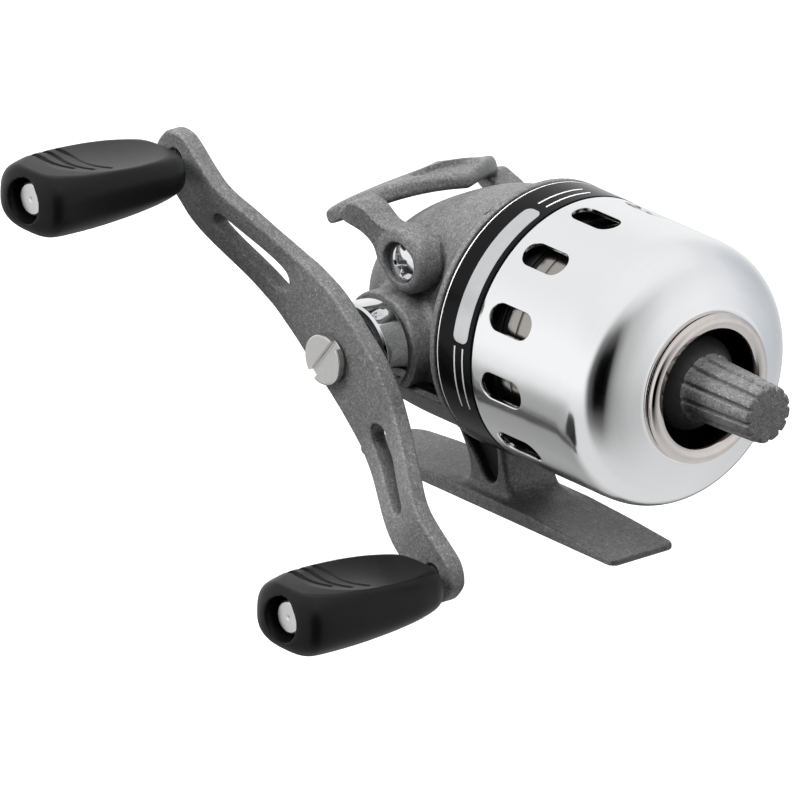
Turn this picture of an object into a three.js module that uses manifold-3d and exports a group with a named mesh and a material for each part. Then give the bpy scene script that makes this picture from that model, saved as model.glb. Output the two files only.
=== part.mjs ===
// Closed-face (spincast) fishing reel with a rear thumb lever, a nose drag knob and a double
// paddle handle. Millimetres. +X is forward, where the line leaves; +Z is up.
// The handle is on the -Y side, called near; +Y is far.
// Origin: centre of the foot's underside, on the reel's middle plane. All pieces are drawn in a
// working frame whose X axis is the spool axis and whose x = 0 is the rear edge of the bright cover.
import * as THREE from "three";
import { mergeVertices } from "three/addons/utils/BufferGeometryUtils.js";
import Module from "manifold-3d";

// ---------- driving dimensions ----------
const AXIS_X = 14.5; // working frame ahead of the foot centre
const AXIS_Z = 35.3; // spool axis above the foot's underside
const GAP = 0.3; // clearance between housing and ledge

const COVER_R = 23.5; // front cover, outside
const COVER_WALL = 0.9;
const COVER_SEAT_R = 22.9; // stepped-in rear end under the band
const COVER_X0 = -9.0;

const LEDGE_Z = -12.5; // seam between the belly and the rear housing
const FOOT_Z = -AXIS_Z;

const CRANK_X = -27.0;
const CRANK_Z = -6.1;
const CRANK = [CRANK_X, CRANK_Z]; // crank axis, parallel to Y
const LEVER_X = -24.5;
const LEVER_Z = 8.8;
const LEVER = [LEVER_X, LEVER_Z]; // thumb lever pivot, parallel to Y
const PAWL = [-17.3, -14.0]; // pawl pin axis [x, z], parallel to Y
const PAWL_HOLE_R = 1.2;
const RATCHET_Y = [-9.4, -8.3]; // common plane of ratchet wheel and pawl

const ROD_Y = 9.3; // push rods of the carriage, parallel to X, one each side
const ROD_Z = 2.0;
const ROD_HOLE_R = 1.6;
const SCREWS = [[0, 16.6], [-12.0, -8.0], [12.0, -8.0]]; // housing screws [y, z]
const SCREW_HOLE_R = 1.25;
const KEEPER_SCREW_Z = 8.0; // one above and one below the spool axis
const KEEPER_HOLE_R = 0.9;

const PINION_TEETH = 8;
const PINION_R = 2.4; // pitch radius
const GEAR_TEETH = 33;
const MESH_DX = (PINION_R * GEAR_TEETH) / PINION_TEETH; // mesh point ahead of the crank axis

const SIDES = [-1, 1]; // near, far
const sideName = (side) => (side < 0 ? "near" : "far");
const DEG = Math.PI / 180;

// ---------- finishes ----------
const GREY = 0x7d7d7b;
const BLACK = 0x18181a;
const STEEL = 0xb9bcc0;
const CHROME = 0xdfe2e6;
const FINISH = {
  casting: { color: GREY, roughness: 0.45, metalness: 0.55 },
  aluminium: { color: 0xd4d6d8, roughness: 0.28, metalness: 0.9 },
  glossBlack: { color: BLACK, roughness: 0.25, metalness: 0.1 },
  rotorBlack: { color: BLACK, roughness: 0.5, metalness: 0.1 },
  knobBlack: { color: BLACK, roughness: 0.4, metalness: 0 },
  mattBlack: { color: BLACK, roughness: 0.9, metalness: 0 },
  dragKnob: { color: 0x4a4a4c, roughness: 0.5, metalness: 0.4 },
  mirrorChrome: { color: CHROME, roughness: 0.08, metalness: 1 },
  chrome: { color: CHROME, roughness: 0.12, metalness: 1 },
  softChrome: { color: CHROME, roughness: 0.15, metalness: 1 },
  polishedSteel: { color: STEEL, roughness: 0.15, metalness: 1 },
  bearingSteel: { color: STEEL, roughness: 0.2, metalness: 1 },
  groundSteel: { color: STEEL, roughness: 0.25, metalness: 1 },
  steel: { color: STEEL, roughness: 0.3, metalness: 1 },
  hardSteel: { color: STEEL, roughness: 0.35, metalness: 1 },
  pressedSteel: { color: STEEL, roughness: 0.35, metalness: 0.9 },
  dullSteel: { color: STEEL, roughness: 0.4, metalness: 0.9 },
  gear: { color: 0x9a9ca0, roughness: 0.4, metalness: 0.9 },
  brass: { color: 0xb08d4a, roughness: 0.35, metalness: 0.9 },
  spool: { color: 0x2b2b2e, roughness: 0.4, metalness: 0.4 },
  line: { color: 0xcfd8d2, roughness: 0.5, metalness: 0 },
  felt: { color: 0x6b5a48, roughness: 0.95, metalness: 0 },
};

// ---------- helpers ----------
const wasm = await Module();
wasm.setup();

// Welds a geometry into a manifold solid, turning it outside out if its volume is negative.
function solid(geo) {
  const bare = new THREE.BufferGeometry().setAttribute("position", geo.getAttribute("position"));
  const welded = mergeVertices(bare.setIndex(geo.index), 1e-4);
  const index = welded.index.array;
  const triangles = [];
  for (let i = 0; i < index.length; i += 3) {
    const [a, b, c] = [index[i], index[i + 1], index[i + 2]];
    if (a !== b && b !== c && a !== c) triangles.push(a, b, c);
  }
  const make = () => new wasm.Manifold(new wasm.Mesh({
    numProp: 3,
    vertProperties: new Float32Array(welded.attributes.position.array),
    triVerts: new Uint32Array(triangles),
  }));
  const body = make();
  if (body.volume() >= 0) return body;
  for (let i = 0; i < triangles.length; i += 3) {
    [triangles[i + 1], triangles[i + 2]] = [triangles[i + 2], triangles[i + 1]];
  }
  return make();
}

const union = (...bodies) => bodies.reduce((a, b) => a.add(b));
const cut = (body, ...tools) => tools.reduce((a, b) => a.subtract(b), body);

// [x, y, z] from a value along an axis and the two other values in alphabetical order
function place(axis, along, c1, c2) {
  if (axis === "x") return [along, c1, c2];
  return axis === "y" ? [c1, along, c2] : [c1, c2, along];
}
// [low, high] in y of a stretch given by its distances from the middle plane
const span = (side, inner, outer) => (side > 0 ? [inner, outer] : [-outer, -inner]);

// cylinder along an axis; c1, c2 are its two other coordinates
function cyl(axis, radius, from, to, segments, c1 = 0, c2 = 0) {
  const geo = new THREE.CylinderGeometry(radius, radius, to - from, segments);
  if (axis === "x") geo.rotateZ(-Math.PI / 2);
  if (axis === "z") geo.rotateX(Math.PI / 2);
  return solid(geo.translate(...place(axis, (from + to) / 2, c1, c2)));
}
function box(x0, x1, y0, y1, z0, z1) {
  const geo = new THREE.BoxGeometry(x1 - x0, y1 - y0, z1 - z0);
  return solid(geo.translate((x0 + x1) / 2, (y0 + y1) / 2, (z0 + z1) / 2));
}
// two crossed slots for a screw head
function crossSlots(axis, from, to, halfLength, c1, c2) {
  const halfWidth = 0.35;
  return [[halfWidth, halfLength], [halfLength, halfWidth]].map(([h1, h2]) => {
    const geo = new THREE.BoxGeometry(...place(axis, to - from, 2 * h1, 2 * h2));
    return solid(geo.translate(...place(axis, (from + to) / 2, c1, c2)));
  });
}

// body turned about the X or Y direction from a profile of [along, radius]; closed into a ring
// unless both ends lie on the axis
function turned(axis, profile, segments, c1 = 0, c2 = 0) {
  const points = profile.map(([along, radius]) => new THREE.Vector2(radius, along));
  const onAxis = points[0].x < 1e-6 && points[points.length - 1].x < 1e-6;
  if (!onAxis) points.push(points[0].clone());
  const geo = new THREE.LatheGeometry(points, segments);
  if (axis === "x") geo.rotateZ(-Math.PI / 2);
  return solid(geo.translate(...place(axis, 0, c1, c2)));
}
// plain ring of rectangular section
const tube = (axis, inner, outer, from, to, segments, c1, c2) =>
  turned(axis, [[from, inner], [from, outer], [to, outer], [to, inner]], segments, c1, c2);

const outline = (points) => new THREE.Shape(points.map(([u, v]) => new THREE.Vector2(u, v)));
const extruded = (points, depth) =>
  new THREE.ExtrudeGeometry(outline(points), { depth, bevelEnabled: false });
// plate with its outline in [x, z], running from y0 to y1
const plateXZ = (points, y0, y1) =>
  solid(extruded(points, y1 - y0).rotateX(Math.PI / 2).translate(0, y1, 0));
// plate with its outline in [y, z], running from x0 to x1
const plateYZ = (points, x0, x1) =>
  solid(extruded(points, x1 - x0).rotateX(Math.PI / 2).rotateZ(Math.PI / 2).translate(x0, 0, 0));

// closed body through rings of equal point count, capped at both ends
function loft(rings) {
  const count = rings[0].length;
  const vertices = [];
  const add = (a, b, c) => vertices.push(...a, ...b, ...c);
  for (let k = 0; k + 1 < rings.length; k++) {
    for (let i = 0; i < count; i++) {
      const j = (i + 1) % count;
      add(rings[k][i], rings[k][j], rings[k + 1][j]);
      add(rings[k][i], rings[k + 1][j], rings[k + 1][i]);
    }
  }
  const cap = (ring, flip) => {
    const centre = [0, 1, 2].map((q) => ring.reduce((sum, point) => sum + point[q], 0) / count);
    for (let i = 0; i < count; i++) {
      const next = ring[(i + 1) % count];
      if (flip) add(centre, next, ring[i]);
      else add(centre, ring[i], next);
    }
  };
  cap(rings[0], true);
  cap(rings[rings.length - 1], false);
  const position = new THREE.Float32BufferAttribute(vertices, 3);
  return solid(new THREE.BufferGeometry().setAttribute("position", position));
}

// angles in degrees
const polar = (cx, cy, radius, angle) =>
  [cx + radius * Math.cos(angle * DEG), cy + radius * Math.sin(angle * DEG)];
const arc = (cx, cy, radius, from, to, steps) =>
  Array.from({ length: steps + 1 }, (_, i) =>
    polar(cx, cy, radius, from + ((to - from) * i) / steps));
const signedPower = (value, exponent) => Math.sign(value) * Math.abs(value) ** exponent;
// rounded box outline as [u, v] points; a smaller exponent gives squarer corners
const superellipse = (count, exponent, halfU, halfV) =>
  Array.from({ length: count }, (_, i) => {
    const angle = ((i + 0.5) / count) * 2 * Math.PI;
    return [halfU * signedPower(Math.cos(angle), exponent),
      halfV * signedPower(Math.sin(angle), exponent)];
  });

// spring along X, of square wire given by its half diagonal
function coilSpring({ x0, length, radius, turns, wire, steps, y = 0, z = 0 }) {
  class Helix extends THREE.Curve {
    getPoint(t, target = new THREE.Vector3()) {
      const angle = t * turns * 2 * Math.PI;
      return target.set(x0 + length * t, y + radius * Math.cos(angle), z + radius * Math.sin(angle));
    }
  }
  const options = { steps, bevelEnabled: false, extrudePath: new Helix() };
  return solid(new THREE.ExtrudeGeometry(outline(arc(0, 0, wire, 0, 270, 3)), options));
}

const reel = new THREE.Group();
const work = new THREE.Group(); // working frame on the spool axis
work.position.set(AXIS_X, 0, AXIS_Z);
reel.add(work);

function piece(name, body, finish) {
  const { vertProperties, triVerts } = body.getMesh();
  const geo = new THREE.BufferGeometry();
  geo.setAttribute("position", new THREE.Float32BufferAttribute(vertProperties, 3));
  geo.setIndex(new THREE.Uint32BufferAttribute(triVerts, 1));
  geo.computeVertexNormals();
  const mesh = new THREE.Mesh(geo, new THREE.MeshStandardMaterial(finish));
  mesh.name = name;
  work.add(mesh);
}

// ---------- main frame: flange, belly, stem and foot in one casting ----------
const FLANGE_R = 23.64;
const FLANGE_X0 = -10.6;
const FLANGE_X1 = -9.3;
const FLANGE_PROFILE = [ // [x, r]
  [-12.4, 6.6], [-12.4, 9.3], [FLANGE_X0, 9.3], [FLANGE_X0, FLANGE_R], [FLANGE_X1, FLANGE_R],
  [FLANGE_X1, 21.8], [-6.6, 21.8], [-6.6, 20.9], [FLANGE_X1, 20.9], [FLANGE_X1, 9.3],
  [-8.8, 9.3], [-8.8, 6.6],
];
const BELLY_R = 22.8;
const BELLY_WALL = 1.9;
const BELLY_MIDDLE = [[-22, 19.07, 10.3], [-30, 18.6, 9.9], [-35, 16.8, 8.4]];
const BELLY_STATIONS = [ // [x, half width, depth below the ledge]
  [-10.4, 19.07, 10.3], ...BELLY_MIDDLE,
  [-39, 13.8, 5.8], [-42, 10.2, 3.0], [-43.6, 7.0, 1.2],
];
const BELLY_CAVITY = [[-10.5, 19.07, 10.3], ...BELLY_MIDDLE, [-38.5, 13.9, 5.6]];
const STEM_HALF_W = 5.6;
const STEM_PROFILE = [ // [x, z]
  [-24.4, -21.5], [-21.8, -25.2], [-20.2, -28.0], [-19.6, -31.0], [-21.0, -32.6],
  [-24.0, -33.1], [-24.0, -34.0], [-3.0, -34.0], [-3.0, -33.1], [-7.0, -32.4],
  [-9.3, -30.6], [-10.4, -27.0], [-11.9, -22.0], [-13.0, -18.0], [-22.5, -18.0],
];
const STEM_POCKET = [ // [x, z]
  [-22.2, -22.9], [-13.4, -23.6], [-12.5, -27.4], [-12.6, -29.4],
  [-13.4, -30.6], [-14.8, -30.7], [-16.0, -29.8], [-18.2, -27.0],
];
const FOOT_X0 = -48.0;
const FOOT_X1 = 19.0;
const FOOT_HALF_W = 7.15;
const FOOT_FRONT_R = 1.6; // plan corner radii
const FOOT_REAR_R = 4;
const FOOT_PROFILE = [ // [x, z]
  [FOOT_X0 + 0.4, FOOT_Z], [FOOT_X1 - 0.4, FOOT_Z], [FOOT_X1, FOOT_Z + 0.3],
  [FOOT_X1, FOOT_Z + 1.0], [8, FOOT_Z + 2.0], [-3, FOOT_Z + 2.6], [-25, FOOT_Z + 2.6],
  [-37, FOOT_Z + 2.0], [FOOT_X0, FOOT_Z + 1.0], [FOOT_X0, FOOT_Z + 0.3],
];

// flange arc below the ledge, from -Y to +Y, scaled to a station
function bellyRing([x, halfWidth, depth], inset) {
  const ledgeAngle = Math.asin(-LEDGE_Z / BELLY_R) / DEG;
  const arcHalfWidth = Math.sqrt(BELLY_R ** 2 - LEDGE_Z ** 2);
  const arcDepth = BELLY_R + LEDGE_Z;
  const ring = arc(0, 0, BELLY_R, 180 + ledgeAngle, 360 - ledgeAngle, 8).map(([y, z]) => [
    x,
    (y * (halfWidth - inset)) / arcHalfWidth,
    LEDGE_Z + ((z - LEDGE_Z) * (depth - inset)) / arcDepth,
  ]);
  if (inset) ring[0][2] = ring[8][2] = LEDGE_Z + 1; // the cavity opens through the ledge
  return ring;
}
function footBody() {
  const frontX = FOOT_X1 - FOOT_FRONT_R;
  const frontY = FOOT_HALF_W - FOOT_FRONT_R;
  const rearX = FOOT_X0 + FOOT_REAR_R;
  const rearY = FOOT_HALF_W - FOOT_REAR_R;
  const plan = [
    ...arc(frontX, frontY, FOOT_FRONT_R, 90, 0, 3), ...arc(frontX, -frontY, FOOT_FRONT_R, 0, -90, 3),
    ...arc(rearX, -rearY, FOOT_REAR_R, 270, 180, 5), ...arc(rearX, rearY, FOOT_REAR_R, 180, 90, 5),
  ];
  return plateXZ(FOOT_PROFILE, -FOOT_HALF_W, FOOT_HALF_W)
    .intersect(solid(extruded(plan, 8).translate(0, 0, FOOT_Z - 2)));
}
function mainFrame() {
  const belly = loft(BELLY_STATIONS.map((station) => bellyRing(station, 0)));
  const cavity = loft(BELLY_CAVITY.map((station) => bellyRing(station, BELLY_WALL)));
  const stem = cut(plateXZ(STEM_PROFILE, -STEM_HALF_W, STEM_HALF_W),
    ...SIDES.map((side) => plateXZ(STEM_POCKET, ...span(side, 3.2, 6.0))));
  const pawlLug = box(-19.6, -10.5, -12.4, -9.8, -15.8, -12.2);
  const body = union(turned("x", FLANGE_PROFILE, 36), cut(belly, cavity), stem, footBody(), pawlLug);
  return cut(body,
    cyl("x", 6.6, -15, -8, 20), // bearing seat
    ...SIDES.map((side) => cyl("x", ROD_HOLE_R, -14, -8, 10, ROD_Y * side, ROD_Z)),
    ...SCREWS.map((centre) => cyl("x", SCREW_HOLE_R, -14, -9, 10, ...centre)),
    cyl("y", PAWL_HOLE_R, -13, -9, 10, ...PAWL),
    ...SIDES.map((sign) => cyl("x", KEEPER_HOLE_R, -12.0, -8, 8, 0, KEEPER_SCREW_Z * sign)));
}
piece("main_frame", mainFrame(), FINISH.casting);

// ---------- rear housing: the upper shell with crank and lever bosses ----------
const SEAM_Z = LEDGE_Z + GAP;
const SHELL_WALL = 1.6;
const SHELL_WAIST_Z = -4; // the rounded top rises from here
const SHELL_EXPONENT = 2 / 2.5;
const SHELL_MIDDLE = [
  [-13, 17.3, 21.4], [-16, 16.0, 20.9], [-20, 15.0, 19.9],
  [-25, 14.6, 17.9], [-31, 14.2, 14.8], [-36, 13.2, 11.4],
];
const SHELL_STATIONS = [ // [x, half width, top z]
  [-10.9, 18.2, 21.8], ...SHELL_MIDDLE, [-40, 11.2, 7.2], [-42.6, 8.6, 2.6], [-44.0, 5.6, -1.6],
];
const SHELL_CAVITY = [[-10.8, 18.2, 21.8], ...SHELL_MIDDLE, [-40.6, 11.0, 6.6]];

function shellRing([x, halfWidth, top], bottom, inset) {
  const w = halfWidth - inset;
  const steps = 10;
  const ring = [];
  for (let i = 0; i <= steps; i++) {
    const angle = (Math.PI * i) / steps;
    const rise = Math.sin(angle) ** SHELL_EXPONENT;
    ring.push([
      x,
      -w * signedPower(Math.cos(angle), SHELL_EXPONENT),
      SHELL_WAIST_Z + (top - inset - SHELL_WAIST_Z) * rise,
    ]);
  }
  ring.push([x, w, bottom], [x, -w, bottom]);
  return ring;
}
function rearHousing() {
  const leverCyl = (radius, inner, outer, segments) =>
    SIDES.map((side) => cyl("y", radius, ...span(side, inner, outer), segments, ...LEVER));
  const shell = cut(loft(SHELL_STATIONS.map((station) => shellRing(station, SEAM_Z, 0))),
    loft(SHELL_CAVITY.map((station) => shellRing(station, SEAM_Z - 2, SHELL_WALL))));
  const body = union(shell,
    cyl("y", 9.0, -20.0, -13.2, 28, ...CRANK), // near crank boss
    cyl("y", 6.6, 9.2, 13.6, 18, ...CRANK), // far bearing boss, inside
    ...leverCyl(4.3, 10.4, 13.4, 14), // lever pivot hubs
    ...SCREWS.map((centre) => cyl("x", 2.3, -18.5, -10.9, 12, ...centre)));
  return cut(body,
    ...SCREWS.map((centre) => cyl("x", SCREW_HOLE_R, -17.5, -10, 10, ...centre)),
    ...leverCyl(6.4, 13.4, 19.5, 24), // flats for the lever bosses to turn beside
    ...leverCyl(2.8, 9.0, 15, 14),
    cyl("y", 6.35, -20.5, -14.9, 24, ...CRANK), // near bearing seat
    cyl("y", 5.2, -15, -12, 18, ...CRANK),
    cyl("y", 5.75, 9.0, 12.6, 18, ...CRANK), // far bearing seat
    box(-60, 0, -30, 30, -30, SEAM_Z));
}
piece("rear_housing", rearHousing(), FINISH.casting);

// ---------- front cover, band, guide ring, line brake ring ----------
const COVER_PROFILE = [ // [x, r], outside then inside
  [COVER_X0, COVER_SEAT_R], [0.0, COVER_SEAT_R], [0.0, COVER_R], [22.0, COVER_R],
  [25.8, 22.85], [28.8, 20.85], [30.8, 17.7], [32.4, 13.3],
  [31.6, 12.6], [29.7, 17.2], [27.6, 20.3], [24.8, 22.1], [21.5, COVER_R - COVER_WALL],
  [0.6, COVER_R - COVER_WALL], [-0.4, 22.1], [COVER_X0, 22.1],
];
const SLOT_COUNT = 12;
const SLOT_LENGTH = 10;
const SLOT_WIDTH = 4.8;
const SLOT_X = 7.4; // slot centre
const SLOT_PHASE = -7.5; // degrees from -Y up towards +Z

function frontCover() {
  const reach = SLOT_LENGTH / 2 - SLOT_WIDTH / 2;
  const slot = [
    ...arc(SLOT_X + reach, 0, SLOT_WIDTH / 2, -90, 90, 3),
    ...arc(SLOT_X - reach, 0, SLOT_WIDTH / 2, 90, 270, 3),
  ];
  const slots = Array.from({ length: SLOT_COUNT }, (_, i) => {
    const angle = (SLOT_PHASE + (360 / SLOT_COUNT) * i) * DEG;
    return solid(extruded(slot, 8).translate(0, 0, 19).rotateX(Math.PI / 2 - angle));
  });
  return cut(turned("x", COVER_PROFILE, 36), ...slots);
}
const GUIDE_PROFILE = [ // [x, r]
  [31.9, 12.2], [33.0, 13.15], [33.8, 12.9], [34.2, 11.7], [33.4, 10.4], [32.0, 10.6],
];
const BRAKE_PROFILE = [[28.9, 14.4], [28.9, 17.0], [29.5, 16.6], [30.3, 14.4]]; // [x, r]
piece("front_cover", frontCover(), FINISH.aluminium);
piece("label_band", tube("x", 23.2, 23.55, COVER_X0, -0.25, 30), FINISH.glossBlack);
piece("guide_ring", turned("x", GUIDE_PROFILE, 30), FINISH.chrome);
piece("line_brake_ring", turned("x", BRAKE_PROFILE, 20), FINISH.mattBlack);

// ---------- bearings, their keepers and the housing screws ----------
const RACE_T = 0.6;
function bearing(prefix, axis, [from, to], bore, outer, c1 = 0, c2 = 0) {
  const ring = (inner, outerR) => tube(axis, inner, outerR, from, to, 14, c1, c2);
  piece(prefix + "_outer_race", ring(outer - RACE_T, outer), FINISH.bearingSteel);
  piece(prefix + "_inner_race", ring(bore, bore + RACE_T), FINISH.bearingSteel);
  const pitchR = (bore + outer) / 2;
  const ballR = Math.min(1.0, (outer - bore) / 2 - RACE_T - 0.22);
  const middle = (from + to) / 2;
  let cage = tube(axis, pitchR - 0.15, pitchR + 0.15, middle - 0.3, middle + 0.3, 12, c1, c2);
  for (let i = 0; i < 6; i++) {
    const angle = ((i + 0.5) / 6) * 2 * Math.PI;
    const [u, v] = [c1 + pitchR * Math.cos(angle), c2 + pitchR * Math.sin(angle)];
    const ball = new THREE.SphereGeometry(ballR, 4, 3).translate(...place(axis, middle, u, v));
    cage = cage.add(solid(ball));
  }
  piece(prefix + "_ball_cage", cage, FINISH.bearingSteel);
}
bearing("pinion_bearing", "x", [-13.2, -9.6], 3.2, 6.3);
bearing("crank_bearing_near", "y", [-18.6, -15.2], 3.3, 6.0, ...CRANK);
bearing("crank_bearing_far", "y", [9.4, 12.0], 2.6, 5.4, ...CRANK);

const RETAINER_PROFILE = [ // [y, r]
  [-20.3, 6.1], [-20.3, 8.1], [-25.3, 8.1], [-25.7, 7.7], [-25.7, 6.1],
];
piece("bearing_retainer", turned("y", RETAINER_PROFILE, 24, ...CRANK), FINISH.mirrorChrome);

function bearingKeeper() {
  const holes = SIDES.flatMap((sign) => [
    cyl("x", KEEPER_HOLE_R, -9, -7, 8, 0, KEEPER_SCREW_Z * sign),
    cyl("x", ROD_HOLE_R, -9, -7, 10, ROD_Y * sign, ROD_Z),
  ]);
  return cut(tube("x", 4.4, 9.2, -8.5, -7.8, 20), ...holes);
}
piece("pinion_bearing_keeper", bearingKeeper(), FINISH.pressedSteel);

function keeperScrew(z) {
  return union(cyl("x", 0.6, -11.6, -7.4, 8, 0, z), cyl("x", 1.15, -7.5, -6.95, 8, 0, z));
}
piece("keeper_screw_lower", keeperScrew(-KEEPER_SCREW_Z), FINISH.steel);
piece("keeper_screw_upper", keeperScrew(KEEPER_SCREW_Z), FINISH.steel);

function housingScrew(centre) {
  const body = union(cyl("x", 0.95, -17.2, -8.9, 8, ...centre), cyl("x", 2.0, -9.0, -7.9, 8, ...centre));
  return cut(body, ...crossSlots("x", -8.4, -7.4, 1.3, ...centre));
}
["top", "near", "far"].forEach((name, i) =>
  piece("housing_screw_" + name, housingScrew(SCREWS[i]), FINISH.steel));

// ---------- crank: shaft, gear, ratchet, eccentric ----------
const CRANK_FIT_R = 3.3; // bore of the gear and the ratchet wheel

function crankShaft() {
  const body = union(cyl("y", 5.6, -27.7, -25.6, 18, ...CRANK),
    cyl("y", 3.0, -25.7, -2.0, 14, ...CRANK), cyl("y", 2.3, -2.1, 12.2, 14, ...CRANK));
  return cut(body, cyl("y", 1.95, -28, -19, 12, ...CRANK)); // handle screw hole
}
piece("crank_shaft", crankShaft(), FINISH.steel);

const GEAR_PROFILE = [ // [y, r]
  [-8.0, CRANK_FIT_R], [-8.0, 5.4], [-5.3, 5.4], [-5.3, 12.7],
  [-3.25, 12.7], [-3.25, 9.8], [-4.1, 9.8], [-4.1, CRANK_FIT_R],
];
const GEAR_TOOTH = [[-0.45, 0], [0.45, 0], [0.27, 1.15], [-0.27, 1.15]]; // [across, height]
const GEAR_TOOTH_LENGTH = 2.0;
const GEAR_TOOTH_Y = -3.3; // tooth root

// Face gear: each tooth is skewed so that it lies along the pinion at the mesh point.
function driveGear() {
  let gear = turned("y", GEAR_PROFILE, 22, ...CRANK);
  for (let i = 0; i < GEAR_TEETH; i++) {
    const tooth = extruded(GEAR_TOOTH, GEAR_TOOTH_LENGTH)
      .translate(0, 0, -GEAR_TOOTH_LENGTH / 2)
      .rotateY(Math.PI / 2)
      .translate(MESH_DX, GEAR_TOOTH_Y, -CRANK_Z)
      .rotateY((-i / GEAR_TEETH) * 2 * Math.PI)
      .translate(CRANK_X, 0, CRANK_Z);
    gear = gear.add(solid(tooth));
  }
  return gear;
}
piece("drive_gear", driveGear(), FINISH.gear);

function ratchetWheel() {
  const teeth = 12;
  const pitch = 360 / teeth;
  const points = [];
  for (let i = 0; i < teeth; i++) {
    points.push(polar(...CRANK, 6.9, pitch * i + 20), polar(...CRANK, 5.5, pitch * i + 26));
  }
  return cut(plateXZ(points, ...RATCHET_Y), cyl("y", CRANK_FIT_R, -10, -8, 20, ...CRANK));
}
piece("ratchet_wheel", ratchetWheel(), FINISH.hardSteel);

const CAM_THROW = 1.0; // disc centre behind the crank axis
const oscillationCam = cut(cyl("y", 3.6, 3.0, 5.0, 24, CRANK_X - CAM_THROW, CRANK_Z),
  cyl("y", 2.6, 2, 6, 16, ...CRANK));
piece("oscillation_cam", oscillationCam, FINISH.brass);

// ---------- handle: S-shaped arm, screw, knobs and their pins ----------
const KNOB_RADIUS = 43.4; // crank axis to knob axis
const ARM_DIR = -38; // degrees, direction of the lower arm from +X towards +Z
const ARM_T = 3.3;
const ARM_Y = -31.3; // outer face at the hub
const ARM_OFFSET = 6.0; // outward offset of the ends
const PIN_HOLE_R = 1.9;
const ARM_HALF = [ // [along, upper edge, lower edge], tip to hub; the other half is it turned round
  [48.2, 1.4, -1.4], [47.4, 2.9, -2.9], [45.6, 4.2, -4.2], [43.4, 4.7, -4.7],
  [38, 4.6, -4.75], [33, 4.8, -4.9], [28, 5.4, -5.1], [22, 5.5, -5.4],
  [17, 6.1, -5.6], [13, 7.4, -5.2], [7, 8.9, -4.85],
];
const ARM_WINDOW = [ // [along, across]
  [15.6, -1.7], [17.4, -2.2], [24, -2.0], [29.6, -1.5], [30.9, -0.9], [31.3, 0], [30.9, 0.9],
  [29.6, 1.4], [24, 1.8], [17.4, 2.2], [15.6, 1.8], [14.6, 0.9], [14.3, 0], [14.6, -0.9],
];
const [ARM_COS, ARM_SIN] = [Math.cos(ARM_DIR * DEG), Math.sin(ARM_DIR * DEG)];
// [x, z] of a point given along and across the arm
const armPoint = (along, across) => [
  CRANK_X + ARM_COS * along - ARM_SIN * across,
  CRANK_Z + ARM_SIN * along + ARM_COS * across,
];
// outer face of the arm, eased outwards between 14 and 36 from the crank axis
function armY(along) {
  const t = Math.min(1, Math.max(0, (Math.abs(along) - 14) / 22));
  return ARM_Y - ARM_OFFSET * t * t * (3 - 2 * t);
}
function armRing([along, upper, lower]) {
  const outer = armY(along);
  const inner = outer + ARM_T;
  const section = [
    [lower, outer], [lower + 0.5, outer], [upper - 0.5, outer],
    [upper, outer], [upper, inner], [lower, inner],
  ];
  return section.map(([across, y]) => {
    const [x, z] = armPoint(along, across);
    return [x, y, z];
  });
}
function handleArm() {
  const stations = [
    ...ARM_HALF.map(([along, upper, lower]) => [-along, upper, lower]),
    [0, 9.1, -4.9],
    ...ARM_HALF.slice().reverse(),
  ];
  const cuts = [-1, 1].flatMap((end) => [
    plateXZ(ARM_WINDOW.map(([along, across]) => armPoint(along * end, across)), -50, -20),
    cyl("y", PIN_HOLE_R, -50, -20, 16, ...armPoint(KNOB_RADIUS * end, 0)),
  ]);
  return cut(loft(stations.map(armRing)), ...cuts, cyl("y", 2.0, -40, -20, 16, ...CRANK));
}
piece("handle_arm", handleArm(), FINISH.casting);

function handleScrew() {
  const head = [[-31.6, 0], [-31.6, 4.4], [-32.7, 4.4], [-33.0, 4.1], [-33.0, 0]]; // [y, r]
  const slot = [armPoint(-0.7, -6), armPoint(0.7, -6), armPoint(0.7, 6), armPoint(-0.7, 6)];
  const body = union(cyl("y", 1.6, -32.0, -20.5, 12, ...CRANK), turned("y", head, 28, ...CRANK));
  return cut(body, plateXZ(slot, -34, -32.2));
}
piece("handle_screw", handleScrew(), FINISH.softChrome);

const KNOB_Y0 = -71.0; // outer end
const KNOB_STATIONS = [ // [distance from the outer end, half width, top, bottom]
  [0, 6.6, 4.6, -5.0], [1.2, 7.7, 5.0, -5.8], [4, 8.5, 5.2, -6.3],
  [11, 9.0, 4.8, -6.2], [17, 9.0, 4.4, -5.9], [23, 8.8, 3.9, -5.4],
  [28, 7.8, 3.4, -4.7], [31.4, 5.8, 2.9, -3.9], [32.4, 4.4, 2.5, -3.2],
];
const PIN_HEAD = [ // [distance from the knob's outer end, r]
  [4.0, 0], [4.0, 2.95], [2.3, 2.95], [2.05, 2.6], [2.05, 0],
];
function knob(x, z) {
  const rings = KNOB_STATIONS.map(([along, halfWidth, top, bottom]) =>
    superellipse(12, 0.6, halfWidth, (top - bottom) / 2).map(([u, v]) =>
      [x + u, KNOB_Y0 + along, z + (top + bottom) / 2 + v]));
  return cut(loft(rings), cyl("y", PIN_HOLE_R, -75, -35, 10, x, z),
    cyl("y", 3.95, -75, KNOB_Y0 + 4.4, 16, x, z)); // counterbore for the pin head
}
function knobPin(x, z) {
  const head = PIN_HEAD.map(([along, radius]) => [KNOB_Y0 + along, radius]);
  const innerEnd = armY(KNOB_RADIUS) + ARM_T + 0.2;
  return union(cyl("y", 1.5, KNOB_Y0 + 3.9, innerEnd, 12, x, z), turned("y", head, 14, x, z));
}
for (const [name, end] of [["lower", 1], ["upper", -1]]) {
  const centre = armPoint(KNOB_RADIUS * end, 0);
  piece("knob_" + name, knob(...centre), FINISH.knobBlack);
  piece("knob_pin_" + name, knobPin(...centre), FINISH.groundSteel);
}

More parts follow.
